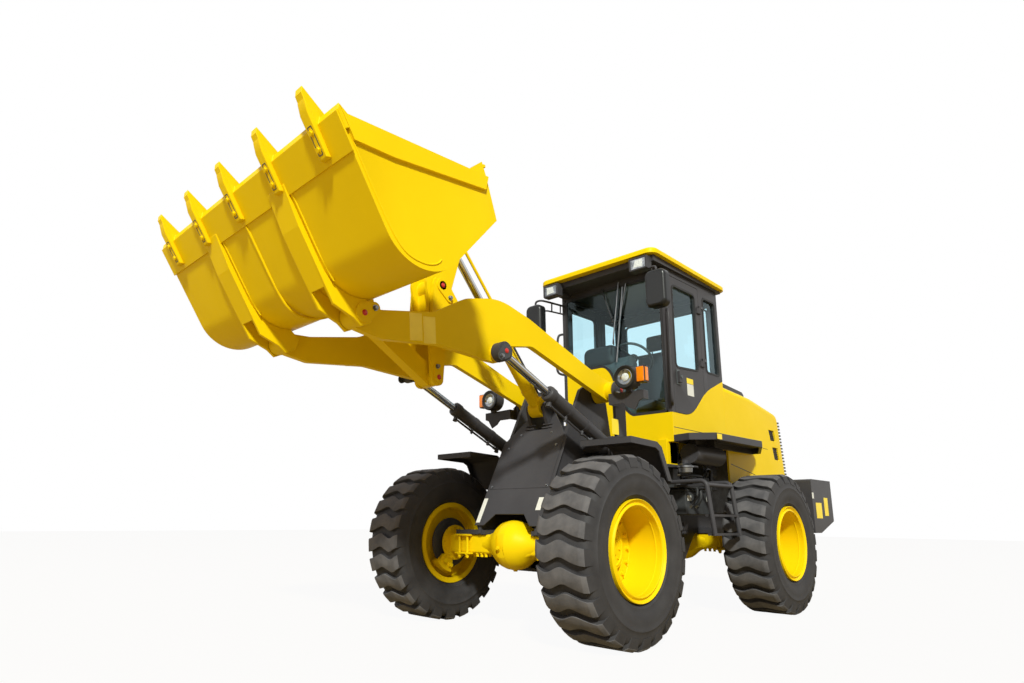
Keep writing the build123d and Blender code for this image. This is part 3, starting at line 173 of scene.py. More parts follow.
# ---- making pieces ----
def finish_piece(obj, body, *materials, sharp=35):
    """Give a new piece its materials and its body, smooth but for edges sharper than an angle."""
    for material in materials:
        obj.data.materials.append(material)
    if obj.type == "MESH":
        obj.data.polygons.foreach_set("use_smooth", [True] * len(obj.data.polygons))
        obj.data.set_sharp_from_angle(angle=radians(sharp))
    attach(obj, body)
    return obj


def make_piece(name, bm, body, *materials, sharp=35):
    bmesh.ops.remove_doubles(bm, verts=bm.verts, dist=0.00001)
    if not name.endswith("_finish"):
        bmesh.ops.recalc_face_normals(bm, faces=bm.faces)
    mesh = bpy.data.meshes.new(name)
    bm.to_mesh(mesh)
    bm.free()
    obj = bpy.data.objects.new(name, mesh)
    bpy.context.scene.collection.objects.link(obj)
    finish_piece(obj, body, *materials, sharp=sharp)
    if not name.endswith(("_finish", "_rubber")):
        obj.modifiers.new("even_shading", "WEIGHTED_NORMAL").keep_sharp = True
    return obj


def dressed(node, material, bevel=0.004, sharp=30):
    """A merged copy of a CAD node with rounded edges, which stands for the node."""
    source = frame["nodes"][node]
    bm = bmesh.new()
    bm.from_mesh(source.data)
    bmesh.ops.remove_doubles(bm, verts=bm.verts, dist=0.00002)
    bmesh.ops.dissolve_limit(bm, angle_limit=radians(1.0), verts=bm.verts, edges=bm.edges)
    body = source["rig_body"]
    obj = make_piece(f"{node}_finish", bm, body, material, sharp=sharp)
    if bevel:
        edge = obj.modifiers.new("round", "BEVEL")
        edge.width, edge.segments, edge.limit_method, edge.angle_limit = bevel, 2, "ANGLE", radians(32)
        edge.harden_normals = True
    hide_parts(node)
    return obj


PAINTED = {
    ENAMEL: ("rim_front_left", "rim_front_right", "rim_rear_left", "rim_rear_right", "front_axle", "rear_axle",
             "boom", "bell_crank", "tilt_link", "bucket_shell", "bucket_edge", "bucket_ears", "tilt_barrel",
             "hood", "cab_base", "cab_roof"),
    BLACK: ("front_frame", "rear_frame", "tower_cover", "front_fenders", "front_lamps", "lift_barrel_left",
            "lift_barrel_right", "steer_barrel_left", "steer_barrel_right", "counterweight", "exhaust_box",
            "cab_frame", "door_left", "door_right", "seat_base", "work_lamps", "platforms", "ladders", "tanks"),
    CHROME: ("lift_rod_left", "lift_rod_right", "tilt_rod", "steer_rod_left", "steer_rod_right"),
    STEEL: ("grille_door", "front_shaft", "rear_shafts"),
    CAST: ("engine",),
    PLASTIC: ("console",),
    GLASS: ("cab_glass", "door_glass_left", "door_glass_right"),
}
for material, nodes in PAINTED.items():
    for name in nodes:
        dressed(name, material, bevel=0.0 if material is GLASS else 0.004)


def repaint(node, material, chosen):
    """Give another material to the faces of a node's finish that a test picks."""
    mesh = bpy.data.objects[f"{node}_finish"].data
    mesh.materials.append(material)
    for face in mesh.polygons:
        if chosen(mesh, face):
            face.material_index = 1


# The brake disc on the inner end of each hub is bare cast iron.
DISC_IN, DISC_R = 0.1535, 0.22    # it lies further in than this from the wheel's middle, within this radius
for end, _ in ENDS:
    for side, out in SIDES:
        low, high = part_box(f"rim_{end}_{side}")
        centre = (low + high) / 2

        def on_disc(mesh, face):
            spots = [mesh.vertices[i].co for i in face.vertices]
            return all((spot.y - centre.y) * out < -DISC_IN
                       and hypot(spot.x - centre.x, spot.z - centre.z) < DISC_R for spot in spots)

        repaint(f"rim_{end}_{side}", CAST, on_disc)

# The eye of each rod has the paint of the arm that it moves.
EYE_R = 0.08
LIFT_EYE, STEER_EYE, TILT_EYE = (2.096, 2.067), (0.12, 0.8), (2.13, 3.06)    # (x from the hitch, z)
for node, (eye_x, eye_z), paint in (
        ("lift_rod_left", LIFT_EYE, BLACK), ("lift_rod_right", LIFT_EYE, BLACK),
        ("steer_rod_left", STEER_EYE, BLACK), ("steer_rod_right", STEER_EYE, BLACK),
        ("tilt_rod", TILT_EYE, ENAMEL)):
    repaint(node, paint, lambda mesh, face: hypot(face.center.x - eye_x - HITCH, face.center.z - eye_z) < EYE_R)


# ---- shapes ----
def bar(bm, start, end, r, r_end=None, sides=24):
    """Round bar between two points."""
    start, end = Vector(start), Vector(end)
    run = end - start
    turn = run.to_track_quat("Z", "Y").to_matrix().to_4x4()
    made = bmesh.ops.create_cone(bm, cap_ends=True, segments=sides, radius1=r, radius2=r if r_end is None else r_end,
                                 depth=run.length, matrix=Matrix.Translation((start + end) / 2) @ turn)
    return made["verts"]


def bevel(bm, geom, width, segments, affect="EDGES", clamp=False):
    """Round edges or corners by a width."""
    bmesh.ops.bevel(bm, geom=geom, offset=width, offset_type="OFFSET", segments=segments, profile=0.5,
                    affect=affect, clamp_overlap=clamp, material=-1)


def soften(bm, verts, width, segments=2, angle=25):
    """Round the sharp edges among some vertices."""
    chosen = set(verts)
    edges = [e for e in bm.edges if e.verts[0] in chosen and e.verts[1] in chosen
             and len(e.link_faces) == 2 and e.calc_face_angle(0) > radians(angle)]
    bevel(bm, edges, width, segments, clamp=True)


def slab(bm, low, high, edge=0.0):
    """Box between two corners, its edges rounded."""
    low, high = Vector(low), Vector(high)
    size = high - low
    place = Matrix.Translation((low + high) / 2) @ Matrix.Diagonal((*size, 1))
    made = bmesh.ops.create_cube(bm, size=1.0, matrix=place)
    if edge:
        soften(bm, made["verts"], edge)
    return made["verts"]


def plate(bm, plane, points, low, high, edge=0.0):
    """Flat plate from its outline; plane names the two axes that the outline is drawn in."""
    first, second = ("xyz".index(axis) for axis in plane)
    third = 3 - first - second
    verts = []
    for a, b in points:
        place = [0.0, 0.0, 0.0]
        place[first], place[second], place[third] = a, b, low
        verts.append(bm.verts.new(place))
    face = bm.faces.new(verts)
    grown = bmesh.ops.extrude_face_region(bm, geom=[face])
    moved = [v for v in grown["geom"] if isinstance(v, bmesh.types.BMVert)]
    step = Vector((0, 0, 0))
    step[third] = high - low
    bmesh.ops.translate(bm, verts=moved, vec=step)
    whole = [*verts, *moved]
    bmesh.ops.recalc_face_normals(bm, faces=[f for f in bm.faces if all(v in set(whole) for v in f.verts)])
    if edge:
        soften(bm, whole, edge)
    return whole


def spun(bm, profile, centre, axis, steps=64):
    """Ring turned from a profile of (distance along the axis, radius)."""
    axis = Vector(axis).normalized()
    side = axis.orthogonal().normalized()
    verts = [bm.verts.new(Vector(centre) + axis * along + side * r) for along, r in profile]
    edges = [bm.edges.new((a, b)) for a, b in zip(verts, verts[1:])]
    bmesh.ops.spin(bm, geom=[*verts, *edges], cent=centre, axis=axis, angle=2 * pi, steps=steps, use_merge=True)


def hex_bolt(bm, at, axis, r, height):
    """Bolt head on its washer, its corners eased."""
    at, axis = Vector(at), Vector(axis).normalized()
    bar(bm, at, at + axis * height * 0.22, r * 1.25, sides=20)
    head = bar(bm, at + axis * height * 0.22, at + axis * height, r, r * 0.97, sides=6)
    soften(bm, head, r * 0.08, 1)


def hose(name, points, r, body, material):
    """Hose or pipe held at both ends, on a smooth line through control points."""
    data = bpy.data.curves.new(name, "CURVE")
    data.dimensions = "3D"
    spline = data.splines.new("NURBS")
    spline.points.add(len(points) - 1)
    for point, (x, y, z) in zip(spline.points, points):
        point.co = (x + HITCH, y, z, 1)
    spline.order_u = 3
    spline.use_endpoint_u = True
    data.bevel_depth, data.bevel_resolution, data.resolution_u, data.use_fill_caps = r, 4, 6, True
    obj = bpy.data.objects.new(name, data)
    bpy.context.scene.collection.objects.link(obj)
    data.materials.append(material)
    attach(obj, body)


def on_side(line, sign):
    """A route drawn on the left, or its mirror image on the right."""
    return [(x, sign * y, z) for x, y, z in line]


def from_hitch(name, bm, body, *materials, sharp=35):
    """Make a piece that was drawn from the hitch axis."""
    bmesh.ops.translate(bm, verts=bm.verts, vec=(HITCH, 0, 0))
    return make_piece(name, bm, body, *materials, sharp=sharp)


# ---- tyres ----
LUGS = 24
LUG_HALF, LUG_ROOT, LUG_TOP = 0.056, 0.575, 0.666    # half a bar along the tread, its lowest and highest radius
WEAR_AND_HIGHLIGHT_R, WEAR_AND_HIGHLIGHT_HALF = 0.64, 0.2    # the tread's paler rubber, worn and with a painted highlight, lies above and within these
WAVE = ((-0.214, -0.03), (-0.112, 0.024), (0.008, -0.03), (0.118, 0.014), (0.214, 0.034))    # across, along
SIDE = ((0.171, 0.318), (0.171, 0.35), (0.182, 0.36), (0.196, 0.378), (0.203, 0.384), (0.203, 0.396),
        (0.212, 0.42), (0.22, 0.455), (0.222, 0.485), (0.2195, 0.52), (0.2215, 0.524), (0.2205, 0.532),
        (0.216, 0.536), (0.212, 0.56), (0.205, 0.588), (0.194, 0.612), (0.168, 0.63), (0.11, 0.634),
        (0.0, 0.635))    # across, radius


def tyre_lug():
    """One wavy bar at the top of the wheel, with a chamfered shoulder that runs down the side wall."""
    bm = bmesh.new()
    front = [(w, s + LUG_HALF) for w, s in WAVE]
    back = [(w, s - LUG_HALF) for w, s in reversed(WAVE)]
    plate(bm, "yx", front + back, LUG_ROOT, LUG_TOP)
    upright = [e for e in bm.edges if abs(e.verts[0].co.z - e.verts[1].co.z) > 0.01 and abs(e.verts[0].co.y) < 0.2]
    bevel(bm, upright, 0.03, 4)
    for side in (1, -1):
        for across, radius, lean in ((0.182, 0.657, 32.7), (0.203, 0.6165, 77.5)):    # two shoulder chamfers
            normal = Vector((0, side * sin(radians(lean)), cos(radians(lean))))
            cut = bmesh.ops.bisect_plane(bm, geom=[*bm.verts, *bm.edges, *bm.faces],
                                         plane_co=(0, side * across, radius), plane_no=normal, clear_outer=True)
            rim = [e for e in cut["geom_cut"] if isinstance(e, bmesh.types.BMEdge)]
            bmesh.ops.holes_fill(bm, edges=rim, sides=0)
    upper = [v for v in bm.verts if v.co.z > 0.6]
    soften(bm, upper, 0.005, 2)
    bmesh.ops.bisect_plane(bm, geom=[*bm.verts, *bm.edges, *bm.faces], plane_co=(0, 0, 0), plane_no=(1, 0, 0))
    for v in bm.verts:    # wrap the flat bar round the wheel
        turn, r = v.co.x / LUG_TOP, v.co.z
        v.co.x, v.co.z = r * sin(turn), r * cos(turn)
    return bm


def tyre_piece(node):
    low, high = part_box(node)
    centre = (low + high) / 2
    bm = bmesh.new()
    profile = [*SIDE, *[(-w, r) for w, r in reversed(SIDE[:-1])]]
    spun(bm, profile, (0, 0, 0), (0, 1, 0), steps=96)
    bmesh.ops.remove_doubles(bm, verts=bm.verts, dist=0.00001)
    bmesh.ops.recalc_face_normals(bm, faces=bm.faces)
    lug = tyre_lug()
    spare = bpy.data.meshes.new("lug")
    lug.to_mesh(spare)
    lug.free()
    for i in range(LUGS):
        count = len(bm.verts)
        bm.from_mesh(spare)
        bm.verts.ensure_lookup_table()
        turn = Matrix.Rotation(i * 2 * pi / LUGS, 3, "Y")
        bmesh.ops.rotate(bm, verts=bm.verts[count:], cent=(0, 0, 0), matrix=turn)
    bpy.data.meshes.remove(spare)
    if "right" in node:
        bmesh.ops.scale(bm, verts=bm.verts, vec=(1, -1, 1))
        bmesh.ops.reverse_faces(bm, faces=bm.faces)
    bmesh.ops.translate(bm, verts=bm.verts, vec=centre)
    for face in bm.faces:    # bars paler for wear and a painted highlight, over darker walls and grooves
        at = face.calc_center_median() - centre
        if hypot(at.x, at.z) > WEAR_AND_HIGHLIGHT_R and abs(at.y) < WEAR_AND_HIGHLIGHT_HALF:
            face.material_index = 1
    obj = make_piece(node + "_rubber", bm, frame["nodes"][node]["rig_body"], TYRE, TREAD_WEAR_AND_HIGHLIGHT, sharp=40)
    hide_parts(node)


for end in ("front", "rear"):
    for side in ("left", "right"):
        tyre_piece(f"tyre_{end}_{side}")


# ---- more shapes ----
def twin(bm):
    """Add the mirror image across the machine's middle plane."""
    made = bmesh.ops.duplicate(bm, geom=[*bm.verts, *bm.edges, *bm.faces])["geom"]
    bmesh.ops.scale(bm, verts=[v for v in made if isinstance(v, bmesh.types.BMVert)], vec=(1, -1, 1))
    return bm


def ring(bm, section, centre, axis, steps=64):
    """Closed ring from a section of (distance along the axis, radius)."""
    spun(bm, [*section, section[0]], centre, axis, steps)


def bolt_ring(bm, centre, axis, r, count, bolt_r, height, turn=0.0):
    """Hexagon bolts on a circle, their heads towards the axis direction."""
    axis = Vector(axis).normalized()
    side = axis.orthogonal().normalized()
    for i in range(count):
        spoke = Matrix.Rotation(turn + i * 2 * pi / count, 3, axis) @ side * r
        hex_bolt(bm, Vector(centre) + spoke, axis, bolt_r, height)


def seal(bm, plane, points, low, high, width, corner=0.04):
    """Rubber section that follows a rounded opening, its inner edge set in by its width."""
    first, second = ("xyz".index(axis) for axis in plane)
    third = 3 - first - second
    verts = []
    for a, b in points:
        place = [0.0, 0.0, 0.0]
        place[first], place[second], place[third] = a, b, low
        verts.append(bm.verts.new(place))
    pane = bm.faces.new(verts)
    before = set(bm.faces) - {pane}
    bevel(bm, verts, corner, 5, "VERTICES", clamp=True)
    pane = max(set(bm.faces) - before, key=lambda f: f.calc_area())
    rim = bmesh.ops.inset_region(bm, faces=[pane], thickness=width, use_boundary=True, use_even_offset=True)["faces"]
    bmesh.ops.delete(bm, geom=[pane], context="FACES")
    grown = bmesh.ops.extrude_face_region(bm, geom=rim)["geom"]
    step = Vector((0, 0, 0))
    step[third] = high - low
    bmesh.ops.translate(bm, verts=[v for v in grown if isinstance(v, bmesh.types.BMVert)], vec=step)


def capsule(bm, a, b, r_a, r_b, y_low, y_high):
    """Flat plate with two round ends, its middles as (x, z)."""
    verts = []
    for (x, z), r in ((a, r_a), (b, r_b)):
        for y in (y_low, y_high):
            turn = Matrix.Translation((x, y, z)) @ Matrix.Rotation(pi / 2, 4, "X")
            verts += bmesh.ops.create_circle(bm, segments=32, radius=r, matrix=turn)["verts"]
    hull = bmesh.ops.convex_hull(bm, input=verts)
    spare = {e for e in hull["geom_interior"] + hull["geom_unused"] if isinstance(e, bmesh.types.BMVert)}
    bmesh.ops.delete(bm, geom=list(spare), context="VERTS")


KEEPER_T = 0.01


def keeper(name, body, pin, bolt, y, material, r=0.044, sides=(1, -1)):
    """Pin head under a bolted keeper plate, on the faces at y; pin and bolt are (x, z)."""
    plates, bolts, caps = bmesh.new(), bmesh.new(), bmesh.new()
    for out in sides:
        face = out * abs(y)
        outer = face + out * KEEPER_T
        capsule(plates, pin, bolt, r, r * 0.62, min(face, outer), max(face, outer))
        hex_bolt(bolts, (bolt[0], outer, bolt[1]), (0, out, 0), 0.015, 0.02)
        foot, way = (pin[0], face + out * 0.009, pin[1]), (0, out, 0)
        ring(caps, [(0.0, 0.0145), (0.0, 0.019), (0.004, 0.019), (0.006, 0.016), (0.006, 0.0145)], foot, way, 24)
        spun(caps, [(0.0, 0.0), (0.0, 0.0145), (0.008, 0.0135), (0.01, 0.01), (0.011, 0.0)], foot, way, 24)
    from_hitch(name + "_plates", plates, body, material)
    from_hitch(name + "_bolts", bolts, body, STEEL)
    from_hitch(name + "_caps", caps, body, RED)


TOWER_COS, TOWER_SIN = 0.8817, 0.4718    # slope of the tower's front
TOWER_FACE = Matrix.Translation((1.47, 0, 0.85)) @ Matrix(
    ((TOWER_COS, 0, -TOWER_SIN), (0, 1, 0), (TOWER_SIN, 0, TOWER_COS))).to_4x4()
COVER_FACE = 0.0125    # front of the tower's cover over the frame's edge


def onto_tower(bm):
    """Move a piece drawn as (out of the slope, across, up the slope) onto the tower's front."""
    bmesh.ops.transform(bm, matrix=TOWER_FACE, verts=bm.verts)
    return bm


# ---- wheels and axles ----
def wheel_fittings(end, side):
    """Rolled flange, lock ring, hub flange, wheel nuts and valve of one wheel."""
    low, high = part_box(f"rim_{end}_{side}")
    centre = (low + high) / 2
    out = Vector((0, 1 if side == "left" else -1, 0))
    bm = bmesh.new()
    ring(bm, [(0.186, 0.329), (0.188, 0.334), (0.203, 0.345), (0.207, 0.349), (0.205, 0.353), (0.186, 0.353)],
         centre, out, 96)
    ring(bm, [(0.186, 0.3065), (0.199, 0.3065), (0.203, 0.31), (0.202, 0.316), (0.192, 0.325), (0.186, 0.326)],
         centre, out, 96)
    ring(bm, [(0.14, 0.308), (0.143, 0.304), (0.15, 0.304), (0.153, 0.308)], centre, out, 96)
    ring(bm, [(-0.08, 0.206), (-0.07, 0.209), (-0.066, 0.214), (-0.066, 0.286), (-0.07, 0.291), (-0.08, 0.294)],
         centre, out, 96)
    ring(bm, [(-0.024, 0.112), (-0.016, 0.114), (-0.013, 0.12), (-0.016, 0.127), (-0.024, 0.13)], centre, out, 64)
    spun(bm, [(-0.026, 0), (-0.026, 0.046), (-0.012, 0.046), (-0.007, 0.042), (-0.006, 0)], centre, out, 32)
    bolt_ring(bm, centre - out * 0.066, out, 0.252, 16, 0.014, 0.022)
    bolt_ring(bm, centre - out * 0.022, out, 0.088, 8, 0.008, 0.01)
    valve = centre + out * 0.02 + Vector((0, 0, 0.285))
    bar(bm, valve - out * 0.1, valve, 0.006, sides=12)
    bar(bm, valve, valve + out * 0.02, 0.009, sides=12)
    make_piece(f"rim_{end}_{side}_fittings", bm, f"wheel_{end}_{side}", ENAMEL, sharp=32)


AXLE_X, HUB_Z = 1.38, 0.666    # each axle from the hitch, and its height


def brake(end, sign):
    """Caliper over the lower part of each brake disc, with the axle's end flange and its bolts."""
    x = sign * AXLE_X
    bm = bmesh.new()
    ring(bm, [(0.0, 0.06), (0.0, 0.148), (0.004, 0.152), (0.018, 0.152), (0.022, 0.148), (0.022, 0.06)],
         (x, 0.702, HUB_Z), (0, 1, 0))
    bolt_ring(bm, (x, 0.702, HUB_Z), (0, -1, 0), 0.134, 14, 0.009, 0.012, 0.2)
    sweep = (-80, -66, -52, -38)    # degrees that the caliper covers
    for inner, outer, low_r, high_r in ((0.712, 0.758, 0.15, 0.262), (0.758, 0.806, 0.222, 0.262)):
        points = [(x + r * cos(radians(a)), HUB_Z + r * sin(radians(a)))
                  for r, angles in ((high_r, sweep), (low_r, sweep[::-1])) for a in angles]
        plate(bm, "xz", points, inner, outer, 0.006)
    for a in (-70, -48):
        spot = (x + 0.205 * cos(radians(a)), 0.712, HUB_Z + 0.205 * sin(radians(a)))
        hex_bolt(bm, spot, (0, -1, 0), 0.02, 0.03)
    from_hitch(f"{end}_brakes", twin(bm), end, ENAMEL, sharp=32)


def clamp_studs(end, sign):
    """Clamp plates over the axle arms, with their studs and nuts."""
    bm = bmesh.new()
    for face in (1, -1):
        x = sign * AXLE_X + face * 0.091
        slab(bm, (x - 0.02, 0.415, 0.73), (x + 0.026, 0.6, 0.7447), 0.003)
        slab(bm, (x - 0.02, 0.415, 0.578), (x + 0.026, 0.6, 0.593), 0.003)
        for y in (0.555, 0.459):
            bar(bm, (x + face * 0.006, y, 0.545), (x + face * 0.006, y, 0.744), 0.011, sides=16)
            hex_bolt(bm, (x + face * 0.006, y, 0.578), (0, 0, -1), 0.018, 0.026)
    for y in (0.38, 0.33, 0.28):
        hex_bolt(bm, (sign * AXLE_X + 0.05, y, 0.588), (0, 0, -1), 0.014, 0.03)
        hex_bolt(bm, (sign * AXLE_X - 0.05, y, 0.588), (0, 0, -1), 0.014, 0.03)
    centre = Vector((sign * AXLE_X, 0, HUB_Z))
    spun(bm, [(0.04, 0.196), (0.085, 0.183), (0.125, 0.158), (0.165, 0.126), (0.205, 0.101), (0.25, 0.086),
              (0.3, 0.079)], centre, (0, 1, 0))
    twin(bm)
    hex_bolt(bm, centre + Vector((sign * 0.196, -0.01, -0.022)), (sign, 0, -0.1), 0.015, 0.014)
    hex_bolt(bm, centre + Vector((0, 0, -0.197)), (0, 0, -1), 0.018, 0.012)
    from_hitch(f"{end}_axle_studs", bm, end, ENAMEL, sharp=32)


for end, sign in ENDS:
    for side in ("left", "right"):
        wheel_fittings(end, side)
    brake(end, sign)
    clamp_studs(end, sign)


# ---- tower ----
def tower_panel():
    """Screwed access panel on the tower's cover."""
    bm = bmesh.new()
    plate(bm, "yz", [(-0.322, 0.304), (0.322, 0.304), (0.322, 0.76), (0.205, 0.88), (-0.205, 0.88),
                     (-0.322, 0.76)], COVER_FACE, COVER_FACE + 0.003, 0.001)
    from_hitch("tower_access_panel", onto_tower(bm), "front", BLACK)
    bm = bmesh.new()
    for y, up in ((-0.296, 0.325), (0.296, 0.325), (-0.265, 0.715), (0.265, 0.715), (-0.17, 0.85), (0.17, 0.85)):
        hex_bolt(bm, (COVER_FACE + 0.003, y, up), (1, 0, 0), 0.009, 0.008)
    from_hitch("tower_panel_screws", onto_tower(bm), "front", STEEL)
    bm = bmesh.new()
    slab(bm, (COVER_FACE, -0.345, -0.015), (COVER_FACE + 0.001, -0.3, 0.215), 0.0002)
    slab(bm, (COVER_FACE, 0.262, 0.1), (COVER_FACE + 0.001, 0.312, 0.215), 0.0002)
    from_hitch("tower_blank_labels", onto_tower(bm), "front", LABEL_WHITE)
    bm = bmesh.new()
    for low in (0.9, 0.935):    # two pressed vents in the upper part
        slab(bm, (COVER_FACE - 0.002, -0.15, low), (COVER_FACE + 0.01, -0.045, low + 0.014), 0.004)
    twin(bm)
    from_hitch("tower_vents", onto_tower(bm), "front", BLACK)


tower_panel()

bm = bmesh.new()
slab(bm, (0.66, 0.5595, 1.587), (0.76, 0.5612, 1.72), 0.0003)
from_hitch("upright_blank_label", twin(bm), "front", LABEL_YELLOW)

bm = bmesh.new()
bar(bm, (0.62, 0.559, 1.98), (0.62, 0.571, 1.98), 0.06, sides=40)
from_hitch("boom_foot_pin_heads", twin(bm), "front", BLACK)
keeper("boom_foot_keeper", "front", (0.62, 1.98), (0.69, 1.945), 0.57, CAST, 0.036)


# ---- lift, tilt and steering cylinders ----
LIFT_WAY = Vector((0.9136, 0, 0.4067))
LIFT_DOWN = Vector((0.4067, 0, -0.9136))
TILT_WAY = Vector((0.6598, 0, 0.7514))
TILT_UP = Vector((-0.7514, 0, 0.6598))


def lift_point(along, down, y=0.525):
    return Vector((0.8, y, 1.49)) + LIFT_WAY * along + LIFT_DOWN * down


def tilt_point(along, up, y=0.0):
    return Vector((1.05, y, 1.83)) + TILT_WAY * along + TILT_UP * up


for side, sign in SIDES:
    y = sign * 0.525
    bm = bmesh.new()
    ring(bm, [(0.79, 0.034), (0.79, 0.06), (0.796, 0.063), (0.838, 0.063), (0.85, 0.058), (0.858, 0.046),
              (0.858, 0.034)], lift_point(0, 0, y), LIFT_WAY, 48)
    for along in (0.33, 0.56):
        ring(bm, [(along, 0.0545), (along, 0.0585), (along + 0.03, 0.0585), (along + 0.03, 0.0545)],
             lift_point(0, 0, y), LIFT_WAY, 48)
        bar(bm, lift_point(along + 0.015, 0.05, y), lift_point(along + 0.015, 0.095, y), 0.013, sides=16)
    for along in (0.215, 0.8):
        bar(bm, lift_point(along, 0.04, y), lift_point(along, 0.092, y), 0.018, sides=20)
        bar(bm, lift_point(along, 0.092, y), lift_point(along, 0.1, y), 0.022, sides=6)
    from_hitch(f"lift_barrel_{side}_gland", bm, f"lift_barrel_{side}", BLACK)
    line = [lift_point(along, down, y) for along, down in
            ((0.8, 0.078), (0.7, 0.08), (0.5, 0.08), (0.34, 0.08), (0.24, 0.078))]
    hose(f"lift_barrel_{side}_pipe", line, 0.009, f"lift_barrel_{side}", BLACK)
    bm = bmesh.new()
    for along in (0.24, 0.785):
        bar(bm, lift_point(along, 0.079, y), lift_point(along + 0.03, 0.079, y), 0.014, sides=6)
    bar(bm, lift_point(0.567, 0.096, y), lift_point(0.583, 0.096, y), 0.01, sides=6)
    from_hitch(f"lift_barrel_{side}_unions", bm, f"lift_barrel_{side}", STEEL)

bm = bmesh.new()
ring(bm, [(0.93, 0.034), (0.93, 0.064), (0.936, 0.067), (0.978, 0.067), (0.99, 0.062), (0.997, 0.048),
          (0.997, 0.034)], tilt_point(0, 0), TILT_WAY, 48)
ring(bm, [(0.18, 0.0575), (0.18, 0.063), (0.215, 0.063), (0.215, 0.0575)], tilt_point(0, 0), TILT_WAY, 48)
ring(bm, [(0.955, 0.0145), (0.955, 0.024), (0.985, 0.024), (0.985, 0.0145)], tilt_point(0, 0.125), TILT_WAY, 24)
bar(bm, tilt_point(0.97, 0.058), tilt_point(0.97, 0.106), 0.012, sides=12)
for along in (0.1, 0.9):
    bar(bm, tilt_point(along, 0.0, 0.04), tilt_point(along, 0.0, 0.084), 0.02, sides=20)
    bar(bm, tilt_point(along, 0.0, 0.084), tilt_point(along, 0.0, 0.094), 0.024, sides=6)
from_hitch("tilt_barrel_gland", bm, "tilt_barrel", ENAMEL)
bm = bmesh.new()
bar(bm, tilt_point(0.75, 0.125), tilt_point(1.56, 0.125), 0.013, sides=20)
bar(bm, tilt_point(1.56, 0.125), tilt_point(1.56, 0.02), 0.01, sides=16)
from_hitch("tilt_indicator_rod", bm, "tilt_rod", ENAMEL)
hose("tilt_barrel_pipe", [tilt_point(along, 0, y) for along, y in
                          ((0.9, 0.088), (0.8, 0.09), (0.5, 0.09), (0.22, 0.09), (0.16, 0.088))],
     0.009, "tilt_barrel", BLACK)


# ---- pin heads with keepers ----
for side, sign in SIDES:
    low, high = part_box(f"lift_rod_{side}")
    face = max(abs(low.y), abs(high.y))
    keeper(f"lift_rod_{side}_keeper", f"lift_rod_{side}", (2.096, 2.067), (2.15, 2.02), face, CAST, 0.052, (sign,))
keeper("crank_low_keeper", "crank", (2.335, 1.907), (2.352, 1.986), 0.1, ENAMEL)
keeper("bucket_pin_keeper", "bucket", (3.338, 2.082), (3.262, 2.128), 0.542, ENAMEL, 0.062)
keeper("crank_pivot_keeper", "boom", (2.335, 2.62), (2.262, 2.535), 0.136, ENAMEL, 0.056)


# ---- boom and bucket ----
bm = bmesh.new()
for x in (2.68, 2.8):
    plate(bm, "xz", [(x, 2.028), (x + 0.108, 2.012), (x + 0.12, 2.198), (x + 0.012, 2.214)],
          0.4595, 0.4612, 0.0003)
from_hitch("boom_blank_labels", twin(bm), "boom", LABEL_YELLOW)

TILT = radians(57.5)    # how far the bucket's floor is rolled back
BUCKET_FRAME = Matrix.Translation((3.338, 0, 2.082)) @ Matrix(
    ((cos(TILT), 0, -sin(TILT)), (0, 1, 0), (sin(TILT), 0, cos(TILT)))).to_4x4()


def on_bucket(name, bm, material, sharp=35):
    """Make a piece drawn in the bucket's own frame: x along the floor, z up from the hinge pin."""
    bmesh.ops.transform(bm, matrix=BUCKET_FRAME, verts=bm.verts)
    return from_hitch(name, bm, "bucket", material, sharp=sharp)


TOOTH_Y = (-0.974, -0.488, 0.0, 0.488, 0.974)
shanks, slots, bolts = bmesh.new(), bmesh.new(), bmesh.new()
for y in TOOTH_Y:
    verts = plate(shanks, "xz", [(0.8, -0.15), (0.812, -0.18), (1.05, -0.18), (1.12, -0.162),
                                 (1.05, -0.15)], y - 0.036, y + 0.036)
    soften(shanks, verts, 0.007, 3)
    seal(slots, "xy", [(0.832, y - 0.019), (0.985, y - 0.019), (0.985, y + 0.019), (0.832, y + 0.019)],
         -0.1812, -0.179, 0.005, 0.006)
    for u in (0.862, 0.95):
        hex_bolt(bolts, (u, y, -0.18), (0, 0, -1), 0.015, 0.014)
    hex_bolt(bolts, (0.965, y, -0.082), (0, 0, 1), 0.017, 0.016)
on_bucket("tooth_shanks", shanks, ENAMEL)
on_bucket("tooth_slots", slots, CAST)
on_bucket("tooth_bolts", bolts, ENAMEL, 32)
bm = bmesh.new()
slab(bm, (0.772, -1.176, -0.15), (0.978, 1.176, -0.1395), 0.003)
on_bucket("cutting_edge_doubler", bm, ENAMEL)


def bead(name, body, points, r=0.005):
    """Weld bead along a line drawn in the bucket's own frame."""
    hose(name, [BUCKET_FRAME @ Vector(p) for p in points], r, body, ENAMEL)


SIDE_BEAD = ((0.86, -0.112), (0.7, -0.112), (0.52, -0.112), (0.36, -0.11), (0.215, -0.085),
             (0.12, 0.02), (0.092, 0.12), (0.11, 0.15))    # along the floor, up from the pin
FLOOR_BEAD = ((0.77, -0.14), (0.6, -0.14), (0.36, -0.14), (0.17, -0.12), (0.06, 0.03), (0.05, 0.17))
EAR_BEAD = ((0.83, -0.1405), (0.6, -0.1405), (0.36, -0.1405), (0.24, -0.125))
for side, y in (("left", 1.1605), ("right", -1.1605)):
    bead(f"bucket_side_bead_{side}", "bucket", [(u, y, v) for u, v in SIDE_BEAD])
bead("bucket_floor_bead", "bucket", [(u, 0.0, v) for u, v in FLOOR_BEAD], 0.01)
for y in (0.335, 0.565):
    for side, sign in SIDES:
        bead(f"ear_bead_{side}_{round(y * 1000)}", "bucket", [(u, sign * y, v) for u, v in EAR_BEAD], 0.006)


